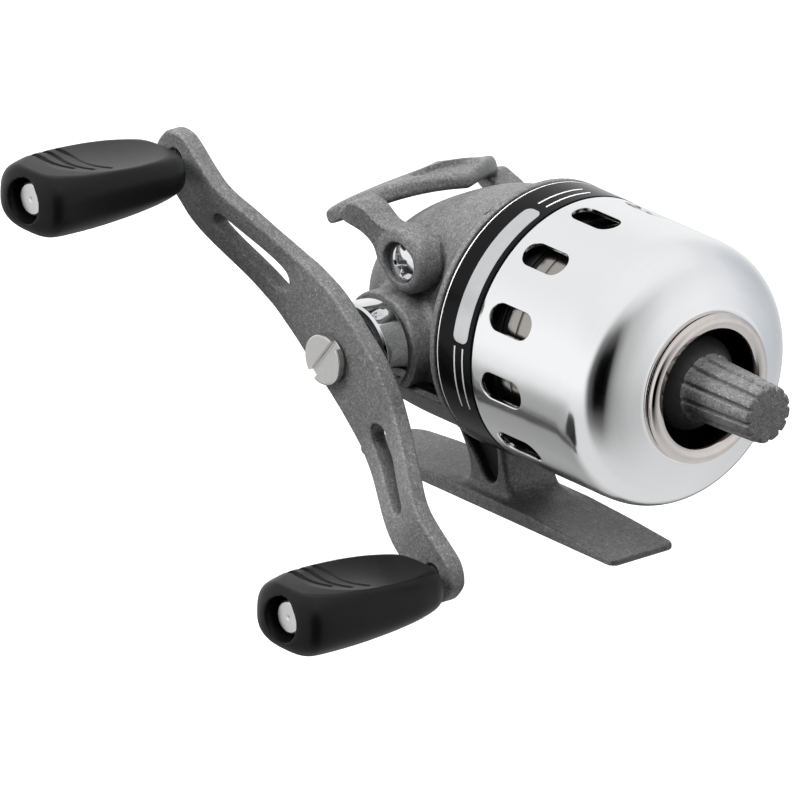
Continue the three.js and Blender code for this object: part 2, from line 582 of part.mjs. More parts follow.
// ---------- pinion ----------
const PINION_TOOTH = [ // [radial, across]
  [1.5, -0.5], [1.9, -0.45], [2.85, -0.24], [2.85, 0.24], [1.9, 0.45], [1.5, 0.5],
];
function pinionGear() {
  let pinion = cyl("x", 1.9, -19.8, -14.0, 24);
  for (let i = 0; i < PINION_TEETH; i++) {
    // half a pitch off the -Y direction so that a gear tooth enters a gap
    const angle = Math.PI + ((i + 0.5) / PINION_TEETH) * 2 * Math.PI;
    const [cos, sin] = [Math.cos(angle), Math.sin(angle)];
    const tooth = PINION_TOOTH.map(([r, t]) => [r * cos - t * sin, r * sin + t * cos]);
    pinion = pinion.add(plateYZ(tooth, -19.6, -14.6));
  }
  // round journal, then a six-sided nose
  const body = union(pinion, cyl("x", 2.9, -14.2, -7.0, 24), cyl("x", 2.75, -7.1, -0.6, 6));
  return cut(body, cyl("x", 1.35, -25, 5, 16));
}
piece("pinion_gear", pinionGear(), FINISH.brass);

// ---------- rotor, winding cup, pickup pin ----------
const ROTOR_PROFILE = [ // [x, r]
  [-4.6, 3.15], [-4.6, 20.4], [-4.2, 20.8], [3.2, 20.8], [3.2, 20.1], [4.2, 20.1],
  [4.2, 19.4], [-3.0, 19.4], [-3.0, 5.2], [-1.0, 5.2], [-1.0, 3.15],
];
const CUP_PROFILE = [ // [x, r]
  [4.6, 19.5], [4.6, 20.9], [21.6, 20.9], [24.2, 20.0],
  [25.4, 17.6], [24.6, 17.4], [23.4, 19.4], [21.6, 20.0],
];
const PICKUP_ANGLE = 128 * DEG; // from -Y up towards +Z
const PICKUP_X = 13.6;
// radial cylinder on the pickup pin's line, its middle at distance middleR from the spool axis
const pickupCyl = (radius, length, middleR) =>
  solid(new THREE.CylinderGeometry(radius, radius, length, 12)
    .translate(0, middleR, 0).rotateX(Math.PI - PICKUP_ANGLE).translate(PICKUP_X, 0, 0));
piece("rotor", turned("x", ROTOR_PROFILE, 20), FINISH.rotorBlack);
piece("winding_cup", cut(turned("x", CUP_PROFILE, 30), pickupCyl(1.15, 6, 20)), FINISH.chrome);
piece("pickup_pin", pickupCyl(0.85, 3.2, 20.6), FINISH.polishedSteel);

// ---------- main shaft, oscillation yoke, spool ----------
const mainShaft = union(cyl("x", 1.0, -38.0, 44.0, 16), cyl("x", 3.1, 3.3, 4.3, 20));
piece("main_shaft", mainShaft, FINISH.groundSteel);

const YOKE_PIN_X = -35.0;
function oscillationYoke() {
  const fork = cut(box(-36.4, -18.6, 2.7, 5.3, -13.0, 0.6), box(-33.6, -20.4, 2, 6, -11.6, -1.2));
  return cut(union(fork, box(-36.4, -33.9, -1.9, 5.3, -1.9, 1.9)),
    cyl("x", 1.3, -40, -30, 12),
    cyl("z", 0.75, 0.5, 3, 8, YOKE_PIN_X),
    cyl("x", 3.2, -23.5, -14, 24)); // room for the pinion's teeth
}
piece("oscillation_yoke", oscillationYoke(), FINISH.dullSteel);
piece("yoke_pin", cyl("z", 0.45, 1.3, 2.9, 8, YOKE_PIN_X), FINISH.steel);

const SPOOL_PROFILE = [ // [x, r]
  [4.6, 1.4], [4.6, 9.6], [1.0, 9.6], [1.0, 17.6], [1.5, 18.1], [2.3, 18.1],
  [2.3, 10.4], [20.5, 10.4], [20.5, 18.6], [21.4, 18.6], [22.0, 17.6],
  [22.0, 8.9], [13.0, 8.9], [13.0, 1.4],
];
const LINE_PROFILE = [[2.6, 10.7], [2.6, 16.2], [11.4, 16.6], [20.2, 16.2], [20.2, 10.7]]; // [x, r]
piece("spool", turned("x", SPOOL_PROFILE, 18), FINISH.spool);
piece("line_pack", turned("x", LINE_PROFILE, 20), FINISH.line);

// ---------- drag stack and drag knob ----------
const WASHER_R = 8.5;
const WASHERS = [ // [name, bore radius, rear x, front x, finish]
  ["drag_washer_felt_inner", 2.0, 13.3, 14.3, FINISH.felt],
  ["drag_washer_steel", 1.3, 14.6, 15.4, FINISH.steel],
  ["drag_washer_felt_outer", 2.0, 15.7, 16.7, FINISH.felt],
  ["drag_pressure_washer", 1.3, 17.0, 18.0, FINISH.steel],
];
for (const [name, bore, rear, front, finish] of WASHERS) {
  piece(name, tube("x", bore, WASHER_R, rear, front, 12), finish);
}
// drawn at the length it has with the knob screwed fully in
const DRAG_SPRING = { x0: 18.8, length: 2.8, radius: 4.2, turns: 3.2, wire: 0.4, steps: 30 };
piece("drag_spring", coilSpring(DRAG_SPRING), FINISH.steel);

const DRAG_KNOB_PROFILE = [ // [x, r]
  [22.9, 7.4], [22.9, 8.0], [23.3, 8.3], [29.8, 8.3], [30.6, 8.0], [33.4, 5.75], [33.8, 5.6],
  [47.9, 5.05], [48.3, 4.8], [48.3, 0], [44.6, 0], [44.6, 1.35], [25.0, 1.35], [25.0, 7.4],
];
function dragKnob() {
  const flutes = Array.from({ length: 12 }, (_, i) =>
    solid(new THREE.CylinderGeometry(0.55, 0.55, 16, 4).rotateZ(-Math.PI / 2)
      .translate(41.9, 0, 5.62).rotateX(((i + 0.25) / 12) * 2 * Math.PI)));
  return cut(turned("x", DRAG_KNOB_PROFILE, 24), ...flutes);
}
piece("drag_knob", dragKnob(), FINISH.dragKnob);

// ---------- push carriage and its springs ----------
function pushCarriage() {
  const arms = SIDES.flatMap((side) => [
    box(-6.6, -5.4, ...span(side, 5.0, 10.6), 0.4, 3.6),
    cyl("x", 1.2, -21.6, -6.0, 8, ROD_Y * side, ROD_Z),
    cyl("x", 1.8, -21.6, -20.6, 8, ROD_Y * side, ROD_Z), // rod head
  ]);
  return union(tube("x", 3.6, 6.0, -6.6, -5.0, 16), ...arms);
}
piece("push_carriage", pushCarriage(), FINISH.pressedSteel);
const ROD_SPRING = { x0: -17.6, length: 3.4, radius: 1.78, turns: 2.5, wire: 0.22, steps: 22 };
for (const side of SIDES) {
  const spring = coilSpring({ ...ROD_SPRING, y: ROD_Y * side, z: ROD_Z });
  piece("carriage_spring_" + sideName(side), spring, FINISH.steel);
}

// ---------- thumb lever, its cams and screws ----------
const LEVER_SPAN = [13.75, 18.5]; // side arms, distances from the middle plane
const PAD_HALF = 17.7;
const PAD_STATIONS = [-1, -0.96, -0.88, -0.75, -0.55, -0.3, 0, 0.3, 0.55, 0.75, 0.88, 0.96, 1];
const NEAR_STRAP = [ // [x, z]
  [-39.6, 13.2], [-37.6, 15.6], [-34.4, 16.3], [-29.0, 14.0], [-24.3, 14.4],
  [-22.0, 12.0], [-24.0, 7.0], [-29.8, 7.2], [-31.6, 10.0], [-34.8, 11.8],
];
const FAR_STRAP = [ // [x, z]
  [-42.8, 11.6], [-41.4, 12.9], [-38.0, 12.6], [-33.0, 12.4], [-29.0, 12.8], [-24.3, 14.4],
  [-22.0, 12.0], [-24.0, 7.0], [-29.8, 6.8], [-35.5, 8.6], [-40.0, 9.8],
];
// cross-section of the thumb pad; t runs from -1 at the near end to 1 at the far end
function padRing(t) {
  const reach = Math.abs(t);
  const x = -32.4 - 10.8 * reach ** 1.9;
  const z = 18.1 - 6.9 * reach ** 2.4;
  let taper = 1;
  if (reach > 0.95) taper = reach === 1 ? 0.4 : 0.75;
  const halfWidth = (4.7 - 3.4 * reach + 1.3 * reach * reach) * taper;
  const halfThickness = (1.4 + 0.25 * reach) * Math.max(taper, 0.6);
  const tilt = Math.min(6 + 28 * reach, 30) * DEG;
  return superellipse(8, 0.7, halfWidth, halfThickness).map(([u, v]) => [
    x + u * Math.cos(tilt) - v * Math.sin(tilt),
    PAD_HALF * t,
    z + u * Math.sin(tilt) + v * Math.cos(tilt),
  ]);
}
function thumbLever() {
  let lever = loft(PAD_STATIONS.map(padRing));
  for (const side of SIDES) {
    const pivotCyl = (radius, inner, outer, segments) =>
      cyl("y", radius, ...span(side, inner, outer), segments, ...LEVER);
    const strap = plateXZ(side < 0 ? NEAR_STRAP : FAR_STRAP, ...span(side, ...LEVER_SPAN));
    lever = cut(union(lever, pivotCyl(5.7, ...LEVER_SPAN, 24), strap),
      pivotCyl(3.65, 17.4, 19, 20), // screw head recess
      pivotCyl(2.75, 13, 16.6, 16), // cam shaft socket
      pivotCyl(1.5, 13, 19, 12));
  }
  return lever;
}
piece("thumb_lever", thumbLever(), FINISH.casting);

const CAM_OUTLINE = [ // [x, z]
  [-26.9, LEVER_Z], [-26.0, 2.4], [-25.2, 1.2], [-22.6, 1.2],
  [-21.95, 1.8], [-21.95, 3.6], [-22.2, LEVER_Z],
];
function leverCam(side) {
  const body = union(cyl("y", 2.45, ...span(side, 7.9, 16.3), 14, ...LEVER),
    plateXZ(CAM_OUTLINE, ...span(side, 7.9, 10.0)));
  return cut(body, cyl("y", 1.2, ...span(side, 12, 17), 12, ...LEVER));
}
const LEVER_SCREW_HEAD = [[17.7, 0], [17.7, 3.2], [18.2, 3.2], [18.6, 2.2], [18.75, 0]]; // [|y|, r]
function leverScrew(side) {
  const head = LEVER_SCREW_HEAD.map(([y, radius]) => [y * side, radius]);
  const body = union(cyl("y", 0.9, ...span(side, 12.4, 17.8), 10, ...LEVER),
    turned("y", head, 20, ...LEVER));
  return cut(body, ...crossSlots("y", ...span(side, 18.0, 19), 1.7, ...LEVER));
}
for (const side of SIDES) {
  piece("lever_cam_" + sideName(side), leverCam(side), FINISH.pressedSteel);
  piece("lever_screw_" + sideName(side), leverScrew(side), FINISH.chrome);
}

// ---------- anti-reverse pawl and its pin ----------
const PAWL_TIP = [[-23.9, -13.3], [-24.5, -13.6], [-23.6, -14.6]]; // [x, z]
const pawl = cut(plateXZ([...arc(...PAWL, 1.9, -120, 110, 7), ...PAWL_TIP], ...RATCHET_Y),
  cyl("y", PAWL_HOLE_R, -10, -8, 10, ...PAWL));
piece("anti_reverse_pawl", pawl, FINISH.hardSteel);
piece("pawl_pin", cyl("y", 0.9, -12.2, -7.8, 10, ...PAWL), FINISH.steel);

export default reel;
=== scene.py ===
"""Looks of a spincast fishing reel with its spool axis along X and its foot below.

Shapes are written in working millimetres: x = 0 at the rear edge of the bright cover, +X forward
(towards the nose knob), +Z up, y = z = 0 on the spool axis. The crank is on the -Y (near) side.
new_mesh moves the points into the frame of the CAD pieces, in metres.
"""
import math

import bpy
import numpy as np
from mathutils import Matrix, Vector


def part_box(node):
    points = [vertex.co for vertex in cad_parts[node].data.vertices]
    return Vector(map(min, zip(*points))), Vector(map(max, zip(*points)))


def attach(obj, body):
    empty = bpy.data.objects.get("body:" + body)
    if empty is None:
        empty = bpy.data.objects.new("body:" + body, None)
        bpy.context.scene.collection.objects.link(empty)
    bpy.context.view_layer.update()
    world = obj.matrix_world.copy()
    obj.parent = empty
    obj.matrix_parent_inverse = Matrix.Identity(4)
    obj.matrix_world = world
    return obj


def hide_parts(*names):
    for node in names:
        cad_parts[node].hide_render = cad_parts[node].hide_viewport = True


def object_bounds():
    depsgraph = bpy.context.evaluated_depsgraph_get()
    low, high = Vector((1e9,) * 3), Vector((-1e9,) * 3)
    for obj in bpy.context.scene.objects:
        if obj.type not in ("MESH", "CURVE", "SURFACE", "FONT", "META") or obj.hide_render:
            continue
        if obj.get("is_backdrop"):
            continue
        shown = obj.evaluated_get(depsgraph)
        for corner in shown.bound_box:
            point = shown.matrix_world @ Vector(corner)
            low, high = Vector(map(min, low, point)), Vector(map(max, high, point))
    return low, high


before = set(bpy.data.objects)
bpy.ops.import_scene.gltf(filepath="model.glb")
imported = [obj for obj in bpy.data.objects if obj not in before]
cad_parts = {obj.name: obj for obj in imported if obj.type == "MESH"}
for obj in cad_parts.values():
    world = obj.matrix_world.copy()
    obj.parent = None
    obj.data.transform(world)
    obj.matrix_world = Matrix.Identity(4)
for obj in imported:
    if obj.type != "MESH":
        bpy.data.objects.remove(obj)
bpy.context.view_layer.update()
cover_low, cover_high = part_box("front_cover")
# the working origin, in millimetres of the CAD frame
ORIGIN = np.array([
    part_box("label_band")[1].x * 1000 + 0.25,
    0.0,
    (cover_low.z + cover_high.z) * 500,
])
scene = bpy.context.scene
DEGREE = math.pi / 180

# ------------------------------------------------------------------ driving dimensions
CRANK = (-27.0, -6.1)  # x, z of the crank axis
LEVER = (-24.5, 8.8)  # x, z of the thumb lever's pivot
ARM_ANGLE = -38 * DEGREE  # of the crank arm, from +X towards +Z
KNOB_REACH = 43.4  # from the crank axis to a paddle knob's pin
KNOB_END = -71.0  # y of the outer end of the paddle knobs
LEDGE = -12.5  # z of the seam between the frame's belly and the rear housing
BOSSES = ((0, 16.6), (12, -8))  # |y|, z of the screw bosses behind the flange
BOSS_HOLE = 1.25  # radius
COVER_R = 23.5
COVER_INNER_R = 22.6
BAND_R = 23.55


# ------------------------------------------------------------------ outlines and stations
def bend(points, radius, steps=3, closed=True):
    """Rounds the corners of a 2D outline; radius is one number or one per point."""
    points = [np.array(point, float) for point in points]
    count = len(points)
    radii = radius if isinstance(radius, list) else [radius] * count
    rounded = []
    for i, corner in enumerate(points):
        if (not closed and i in (0, count - 1)) or radii[i] <= 0:
            rounded.append(corner)
            continue
        before, after = points[i - 1] - corner, points[(i + 1) % count] - corner
        before_length, after_length = np.linalg.norm(before), np.linalg.norm(after)
        if before_length < 1e-9 or after_length < 1e-9:
            rounded.append(corner)
            continue
        before, after = before / before_length, after / after_length
        angle = math.acos(max(-1, min(1, float(before @ after))))
        if angle > math.pi - 0.02 or angle < 0.05:
            rounded.append(corner)
            continue
        trim = min(radii[i] / math.tan(angle / 2), 0.45 * before_length, 0.45 * after_length)
        fitted = trim * math.tan(angle / 2)
        middle = before + after
        centre = corner + middle / np.linalg.norm(middle) * (fitted / math.sin(angle / 2))
        first, last = corner + before * trim - centre, corner + after * trim - centre
        start = math.atan2(first[1], first[0])
        sweep = (math.atan2(last[1], last[0]) - start + math.pi) % (2 * math.pi) - math.pi
        for k in range(steps + 1):
            turn = start + sweep * k / steps
            rounded.append(centre + fitted * np.array([math.cos(turn), math.sin(turn)]))
    return [tuple(point) for point in rounded]


def curve(points, steps, closed=False):
    """Catmull-Rom curve through the points."""
    points = np.array(points, float)
    count = len(points)
    result = []
    for i in range(count if closed else count - 1):
        p0, p1, p2, p3 = (
            points[(i + k) % count if closed else min(max(i + k, 0), count - 1)]
            for k in (-1, 0, 1, 2))
        for k in range(steps):
            t = k / steps
            result.append(0.5 * (
                2 * p1 + (p2 - p0) * t + (2 * p0 - 5 * p1 + 4 * p2 - p3) * t * t
                + (3 * p1 - p0 - 3 * p2 + p3) * t ** 3))
    if not closed:
        result.append(points[-1])
    return np.array(result)


def stations(rows, low, high, step=0.1):
    """Monotone cubic through rows of (position, value, ...).

    Returns a function of (position, column) giving the value and its slope.
    """
    rows = np.array(sorted(rows), float)
    samples = np.arange(low, high + step, step)
    knots = rows[:, 0]
    gaps = np.diff(knots)
    columns = []
    for values in rows.T[1:]:
        rise = np.diff(values) / gaps
        slopes = np.zeros(len(knots))
        for i in range(1, len(knots) - 1):
            if rise[i - 1] * rise[i] > 0:
                w1, w2 = 2 * gaps[i] + gaps[i - 1], gaps[i] + 2 * gaps[i - 1]
                slopes[i] = (w1 + w2) / (w1 / rise[i - 1] + w2 / rise[i])
        slopes[0], slopes[-1] = rise[0], rise[-1]
        k = np.clip(np.searchsorted(knots, samples) - 1, 0, len(gaps) - 1)
        t = np.clip((samples - knots[k]) / gaps[k], 0, 1)
        fitted = (
            (2 * t ** 3 - 3 * t ** 2 + 1) * values[k]
            + (t ** 3 - 2 * t ** 2 + t) * gaps[k] * slopes[k]
            + (-2 * t ** 3 + 3 * t ** 2) * values[k + 1]
            + (t ** 3 - t ** 2) * gaps[k] * slopes[k + 1])
        columns.append((fitted, np.gradient(fitted, step)))

    def look_up(position, column=0):
        value, slope = columns[column]
        return np.interp(position, samples, value), np.interp(position, samples, slope)
    return look_up


def ease(t):
    """Smooth step from 0 to 1."""
    t = np.clip(t, 0, 1)
    return t * t * (3 - 2 * t)


# ------------------------------------------------------------------ meshes
def new_mesh(name, points, faces, normals, materials):
    """Smooth object from working millimetres, faces as lists and one normal per vertex."""
    mesh = bpy.data.meshes.new(name)
    mesh.from_pydata(((points + ORIGIN) / 1000).tolist(), [], faces)
    mesh.validate()
    mesh.shade_smooth()
    mesh.normals_split_custom_set_from_vertices(normals.tolist())
    for key in materials:
        mesh.materials.append(MATERIALS[key])
    thing = bpy.data.objects.new(name, mesh)
    scene.collection.objects.link(thing)
    return thing


def unit(vectors):
    return vectors / np.maximum(np.linalg.norm(vectors, axis=1, keepdims=True), 1e-12)


def area_normals(points, quads):
    """Vertex normals weighted by the area of the quads round them."""
    a, b, c, d = (points[quads[:, i]] for i in range(4))
    area = np.cross(c - a, d - b)
    normals = np.zeros((len(points), 3))
    for i in range(4):
        np.add.at(normals, quads[:, i], area)
    return unit(normals)


def tidy(quads):
    """Quads that lost a corner become triangles, and those that lost more are dropped."""
    faces = []
    for quad in quads.tolist():
        face = []
        for vertex in quad:
            if not face or face[-1] != vertex:
                face.append(vertex)
        if len(face) > 1 and face[0] == face[-1]:
            face.pop()
        if len(set(face)) == len(face) and len(face) >= 3:
            faces.append(face)
    return faces


def welded_mesh(name, points, quads, materials, tolerance=1e-4):
    """Object from quads whose coincident vertices are merged."""
    keys = np.round(points / tolerance).astype(np.int64)
    _, first, merged = np.unique(keys, axis=0, return_index=True, return_inverse=True)
    points, quads = points[first], merged.reshape(-1)[quads]
    return new_mesh(name, points, tidy(quads), area_normals(points, quads), materials)


def ring(x, radius, angle):
    """Points round the spool axis; angle 0 is at -Y and 90 degrees at +Z."""
    return np.stack([x + 0 * angle, -radius * np.cos(angle), radius * np.sin(angle)], 1)


def ring_quads(rings, count, closed=False, start=0):
    """Quads joining each ring of count vertices to the next; closed joins the last to the first."""
    here = np.arange(count)
    after = (here + 1) % count
    quads = []
    for i in range(rings if closed else rings - 1):
        low, high = start + i * count, start + (i + 1) % rings * count
        quads.append(np.stack([low + here, low + after, high + after, high + here], 1))
    return np.concatenate(quads)


def turned(name, profile, materials, centre=None, segments=160, rounding=0.1, closed=True):
    """Body turned from a profile of (along, radius).

    The axis is the spool axis, or parallel to Y through centre (x, z) if that is given.
    """
    profile = bend(profile, rounding, 3, closed)
    angles = np.arange(segments) * 2 * math.pi / segments
    points = np.concatenate([ring(along, radius, angles) for along, radius in profile])
    if centre:
        points = np.stack(
            [centre[0] - points[:, 1], points[:, 0], centre[1] + points[:, 2]], 1)
    quads = ring_quads(len(profile), segments, closed)
    along, radius = np.array(profile).T
    area = np.sum(along * np.roll(radius, -1) - np.roll(along, -1) * radius)
    if (area < 0) == (centre is None):  # faces outwards
        quads = quads[:, ::-1]
    return welded_mesh(name, points, quads, materials)


# ------------------------------------------------------------------ distance fields
# A field is negative inside. "edge" is the radius of the rounding where two fields meet.
def meet(field, *others, edge=0.0):
    """Part common to all fields."""
    for other in others:
        sharp = np.maximum(field, other)
        if edge > 0:
            field = np.minimum(-edge, sharp) + np.hypot(
                np.maximum(edge + field, 0), np.maximum(edge + other, 0))
        else:
            field = sharp
    return field


def join(*fields, edge=0.0):
    return -meet(*[-field for field in fields], edge=edge)


def cut(field, tool, edge=0.0):
    return meet(field, -tool, edge=edge)


def slab(value, low, high):
    return np.maximum(low - value, value - high)


def rod(first, second, along, centre, radius, start, end, edge=0.0):
    """Cylinder; takes the two coordinates across it, then the one along it."""
    across = np.hypot(first - centre[0], second - centre[1]) - radius
    return meet(across, slab(along, start, end), edge=edge)


def outline_distance(points, x, z):
    """Signed distance to a closed 2D outline."""
    points = np.asarray(points, float)
    x, z = np.broadcast_arrays(x, z)
    squared = (x - points[0, 0]) ** 2 + (z - points[0, 1]) ** 2
    sign = np.ones(squared.shape)
    for i in range(len(points)):
        here, before = points[i], points[i - 1]
        ex, ez = before - here
        dx, dz = x - here[0], z - here[1]
        t = np.clip((dx * ex + dz * ez) / max(ex * ex + ez * ez, 1e-12), 0, 1)
        squared = np.minimum(squared, (dx - ex * t) ** 2 + (dz - ez * t) ** 2)
        above, below, left = z >= here[1], z < before[1], ex * dz > ez * dx
        crossed = (above & below & left) | (~above & ~below & ~left)
        sign = np.where(crossed, -sign, sign)
    return sign * np.sqrt(squared)


def oval(across, up, width, height, power, width_slope, height_slope=0.0):
    """Superellipse section with half sizes width and height that change along the part."""
    a, b = across / width, up / height
    size = np.maximum((a ** power + b ** power) ** (1 / power), 1e-6)
    ga, gb = (a / size) ** (power - 1), (b / size) ** (power - 1)
    along = ga * a * width_slope / width + gb * b * height_slope / height
    steepness = np.sqrt((ga / width) ** 2 + (gb / height) ** 2 + along ** 2)
    return (size - 1) / np.maximum(steepness, 1e-3)


def surface_nets(field, low, high, cell):
    """Quads over the zero surface of field(x, y, z), with one vertex per crossed grid cell."""
    low, high = np.array(low), np.array(high)
    size = np.ceil((high - low) / cell).astype(int) + 1
    xs, ys, zs = (low[i] + cell * np.arange(size[i]) for i in range(3))
    value = np.empty(tuple(size), np.float32)
    step = max(1, int(1.5e6 / (size[1] * size[2])))
    for i in range(0, size[0], step):  # in slices, to keep the temporary arrays small
        value[i:i + step] = field(xs[i:i + step, None, None], ys[None, :, None], zs[None, None])
    for axis in range(3):  # closes the surface at the walls of the grid
        layers = np.moveaxis(value, axis, 0)
        layers[[0, -1]] = np.maximum(layers[[0, -1]], 1e-3)
    inside = value < 0
    count = np.zeros(tuple(size - 1), np.int8)
    corners = [(i, j, k) for i in (0, 1) for j in (0, 1) for k in (0, 1)]
    for i, j, k in corners:
        count += inside[i:size[0] - 1 + i, j:size[1] - 1 + j, k:size[2] - 1 + k]
    cells = np.argwhere((count > 0) & (count < 8))
    index = np.full(tuple(size - 1), -1, np.int32)
    index[tuple(cells.T)] = np.arange(len(cells))

    # each vertex is the mean of the crossings on its cell's edges
    total, crossings = np.zeros((len(cells), 3)), np.zeros(len(cells))
    for start in corners:
        for axis in range(3):
            if start[axis]:
                continue
            end = list(start)
            end[axis] = 1
            a = value[tuple((cells + start).T)].astype(float)
            b = value[tuple((cells + end).T)].astype(float)
            crossed = (a < 0) != (b < 0)
            spot = np.array(start, float) + np.zeros((len(cells), 3))
            spot[:, axis] += np.where(crossed, a / np.where(crossed, a - b, 1), 0)
            total += np.where(crossed[:, None], spot, 0)
            crossings += crossed
    points = low + cell * (cells + total / crossings[:, None])

    # each crossed grid edge gives the quad of the four cells round it
    quads = []
    for axis in range(3):
        sides = [(axis + 1) % 3, (axis + 2) % 3]
        lower, upper = [None] * 3, [None] * 3
        lower[axis], upper[axis] = slice(0, size[axis] - 1), slice(1, size[axis])
        for k in sides:
            lower[k] = upper[k] = slice(1, size[k] - 1)
        first, second = inside[tuple(lower)], inside[tuple(upper)]
        edges = np.argwhere(first != second)
        outward = first[tuple(edges.T)]
        edges[:, sides] += 1
        around = []
        for back in ((1, 1), (0, 1), (0, 0), (1, 0)):
            shift = np.zeros(3, int)
            shift[sides] = back
            around.append(index[tuple((edges - shift).T)])
        quad = np.stack(around, 1)
        quad[~outward] = quad[~outward][:, ::-1]
        quads.append(quad)
    return points, np.concatenate(quads)


def gradient(field, points, step):
    return np.stack([
        (field(*(points + shift).T) - field(*(points - shift).T)) / (2 * step)
        for shift in step * np.eye(3)], 1)


def field_mesh(name, field, low, high, cell, materials, centre=(0, 0), turn=0.0,
               probe=0.03, normal_probe=0.07, max_step=None):
    """Object over a field whose x and z are measured from centre (x, z) and turned by turn."""
    points, quads = surface_nets(field, low, high, cell)
    limit = max_step or 0.4 * cell
    for _ in range(3):  # pulls the vertices onto the surface
        slope = gradient(field, points, probe)
        pull = field(*points.T) / np.maximum((slope * slope).sum(1), 0.1)
        points -= np.clip(pull, -limit, limit)[:, None] * slope
    cos, sin = math.cos(turn), math.sin(turn)

    def turn_out(vectors, base):
        x, y, z = vectors.T
        return np.stack([base[0] + cos * x - sin * z, y, base[1] + sin * x + cos * z], 1)
    normals = turn_out(unit(gradient(field, points, normal_probe)), (0, 0))
    return new_mesh(name, turn_out(points, centre), quads.tolist(), normals, materials)


# ------------------------------------------------------------------ node trees
class Graph:
    """Node tree with an output and one main shader; its methods return output sockets."""

    def __init__(self, owner, kind="Material", shader="BsdfPrincipled"):
        owner.use_nodes = True
        self.tree = owner.node_tree
        self.tree.nodes.clear()
        self.output = self.add("Output" + kind)
        self.shader = self.add(shader)
        self.feed(self.output, {0: self.shader.outputs[0]})

    def add(self, kind, inputs=None, **settings):
        node = self.tree.nodes.new("ShaderNode" + kind)
        for name, value in settings.items():
            setattr(node, name, value)
        self.feed(node, inputs or {})
        return node

    def feed(self, node, inputs):
        """Links sockets and sets plain values."""
        for key, value in inputs.items():
            if isinstance(value, bpy.types.NodeSocket):
                self.tree.links.new(value, node.inputs[key])
            else:
                node.inputs[key].default_value = value

    def coords(self, scale=(1, 1, 1)):
        position = self.add("TexCoord").outputs["Object"]
        return self.add("Mapping", {"Scale": scale, "Vector": position}).outputs[0]

    def noise(self, vector, scale, detail, roughness=0.5):
        return self.add("TexNoise", {
            "Scale": scale, "Detail": detail, "Roughness": roughness, "Vector": vector,
        }).outputs["Fac"]

    def ramp(self, factor, stops, interpolation="LINEAR"):
        """Colour ramp from stops of (position, grey or colour)."""
        node = self.add("ValToRGB", {0: factor})
        node.color_ramp.interpolation = interpolation
        elements = node.color_ramp.elements
        while len(elements) < len(stops):
            elements.new(0.5)
        for element, (position, colour) in zip(elements, stops):
            if not isinstance(colour, tuple):
                colour = (colour,) * 3
            element.position = position
            element.color = colour if len(colour) == 4 else (*colour, 1)
        return node.outputs[0]

    def math(self, operation, a, b):
        return self.add("Math", {0: a, 1: b}, operation=operation).outputs[0]

    def mix(self, factor, a, b, mode="MIX"):
        node = self.add("Mix", data_type="RGBA", blend_type=mode)
        self.feed(node, {0: factor, 6: a, 7: b})
        return node.outputs[2]

    def bump(self, height, strength, distance):
        node = self.add("Bump", {"Strength": strength, "Distance": distance, "Height": height})
        self.feed(self.shader, {"Normal": node.outputs[0]})


def new_material(name):
    material = bpy.data.materials.new(name)
    return material, Graph(material)


def scaled(colour, factor):
    return tuple(channel * factor for channel in colour)


# ------------------------------------------------------------------ materials
FLAKE = 0.00025  # metres across one flake of the fleck paint


def fleck_paint(name, base, light, roughness, dark=0.11):
    """Metallic fleck paint: a mid grey with scattered bright and dark flakes."""
    material, graph = new_material(name)
    where = graph.coords()
    cells = graph.add("TexVoronoi", {"Scale": 1 / FLAKE, "Vector": where})
    flake = graph.add("SeparateColor", {0: cells.outputs["Color"]})
    colour = graph.ramp(flake.outputs[0], [
        (0.0, dark), (0.3, dark * 0.3 + base * 0.7), (0.5, base),
        (0.8, base * 1.1), (0.92, base * 0.5 + light * 0.5), (1.0, light)])
    broad = graph.ramp(graph.noise(where, scale=700, detail=3), [(0.3, 0.88), (0.7, 1.1)])
    graph.feed(graph.shader, {
        "Base Color": graph.mix(1.0, colour, broad, "MULTIPLY"),
        "Metallic": 0.3,
        "Roughness": graph.ramp(
            flake.outputs[1], [(0.0, roughness + 0.08), (1.0, roughness - 0.08)]),
        "Specular IOR Level": 0.3,
        "Coat Weight": 0.08,
        "Coat Roughness": 0.3,
    })
    fine = graph.noise(where, scale=2600, detail=2)
    height = graph.math("ADD", flake.outputs[2], fine)
    graph.bump(height, strength=0.16, distance=0.00003)
    return material


def spun_metal(name, colour, roughness, line, anisotropy, bump, tone=0.05, axis="X"):
    """Turned metal with fine lines along X in colour (tone), roughness (line) and height."""
    material, graph = new_material(name)
    lines = graph.noise(graph.coords((1.0, 0.03, 0.03)), scale=2600, detail=3, roughness=0.6)
    broad = graph.noise(graph.coords(), scale=60, detail=3)
    spread = graph.math(
        "ADD", graph.math("MULTIPLY", lines, line * 2), graph.math("MULTIPLY", broad, line))
    graph.feed(graph.shader, {
        "Base Color": graph.ramp(lines, [(0.25, scaled(colour, 1 - tone)), (0.75, colour)]),
        "Metallic": 1.0,
        "Roughness": graph.math("ADD", spread, roughness - line * 1.5),
        "Anisotropic": anisotropy,
        "Tangent": graph.add("Tangent", direction_type="RADIAL", axis=axis).outputs[0],
    })
    graph.bump(lines, bump, distance=0.00001)
    return material


def plain_metal(name, colour, roughness, smudge=0.06, bump=0.03):
    """Polished or ground metal with faint smudges and fine scratches."""
    material, graph = new_material(name)
    smudges = graph.noise(graph.coords(), scale=400, detail=4, roughness=0.6)
    scratches = graph.noise(graph.coords((1, 1, 9)), scale=1500, detail=2)
    graph.feed(graph.shader, {
        "Base Color": graph.ramp(smudges, [(0.3, scaled(colour, 0.93)), (0.7, colour)]),
        "Metallic": 1.0,
        "Roughness": graph.math(
            "ADD", graph.math("MULTIPLY", smudges, smudge), roughness - smudge / 2),
    })
    graph.bump(scratches, bump, distance=0.00001)
    return material


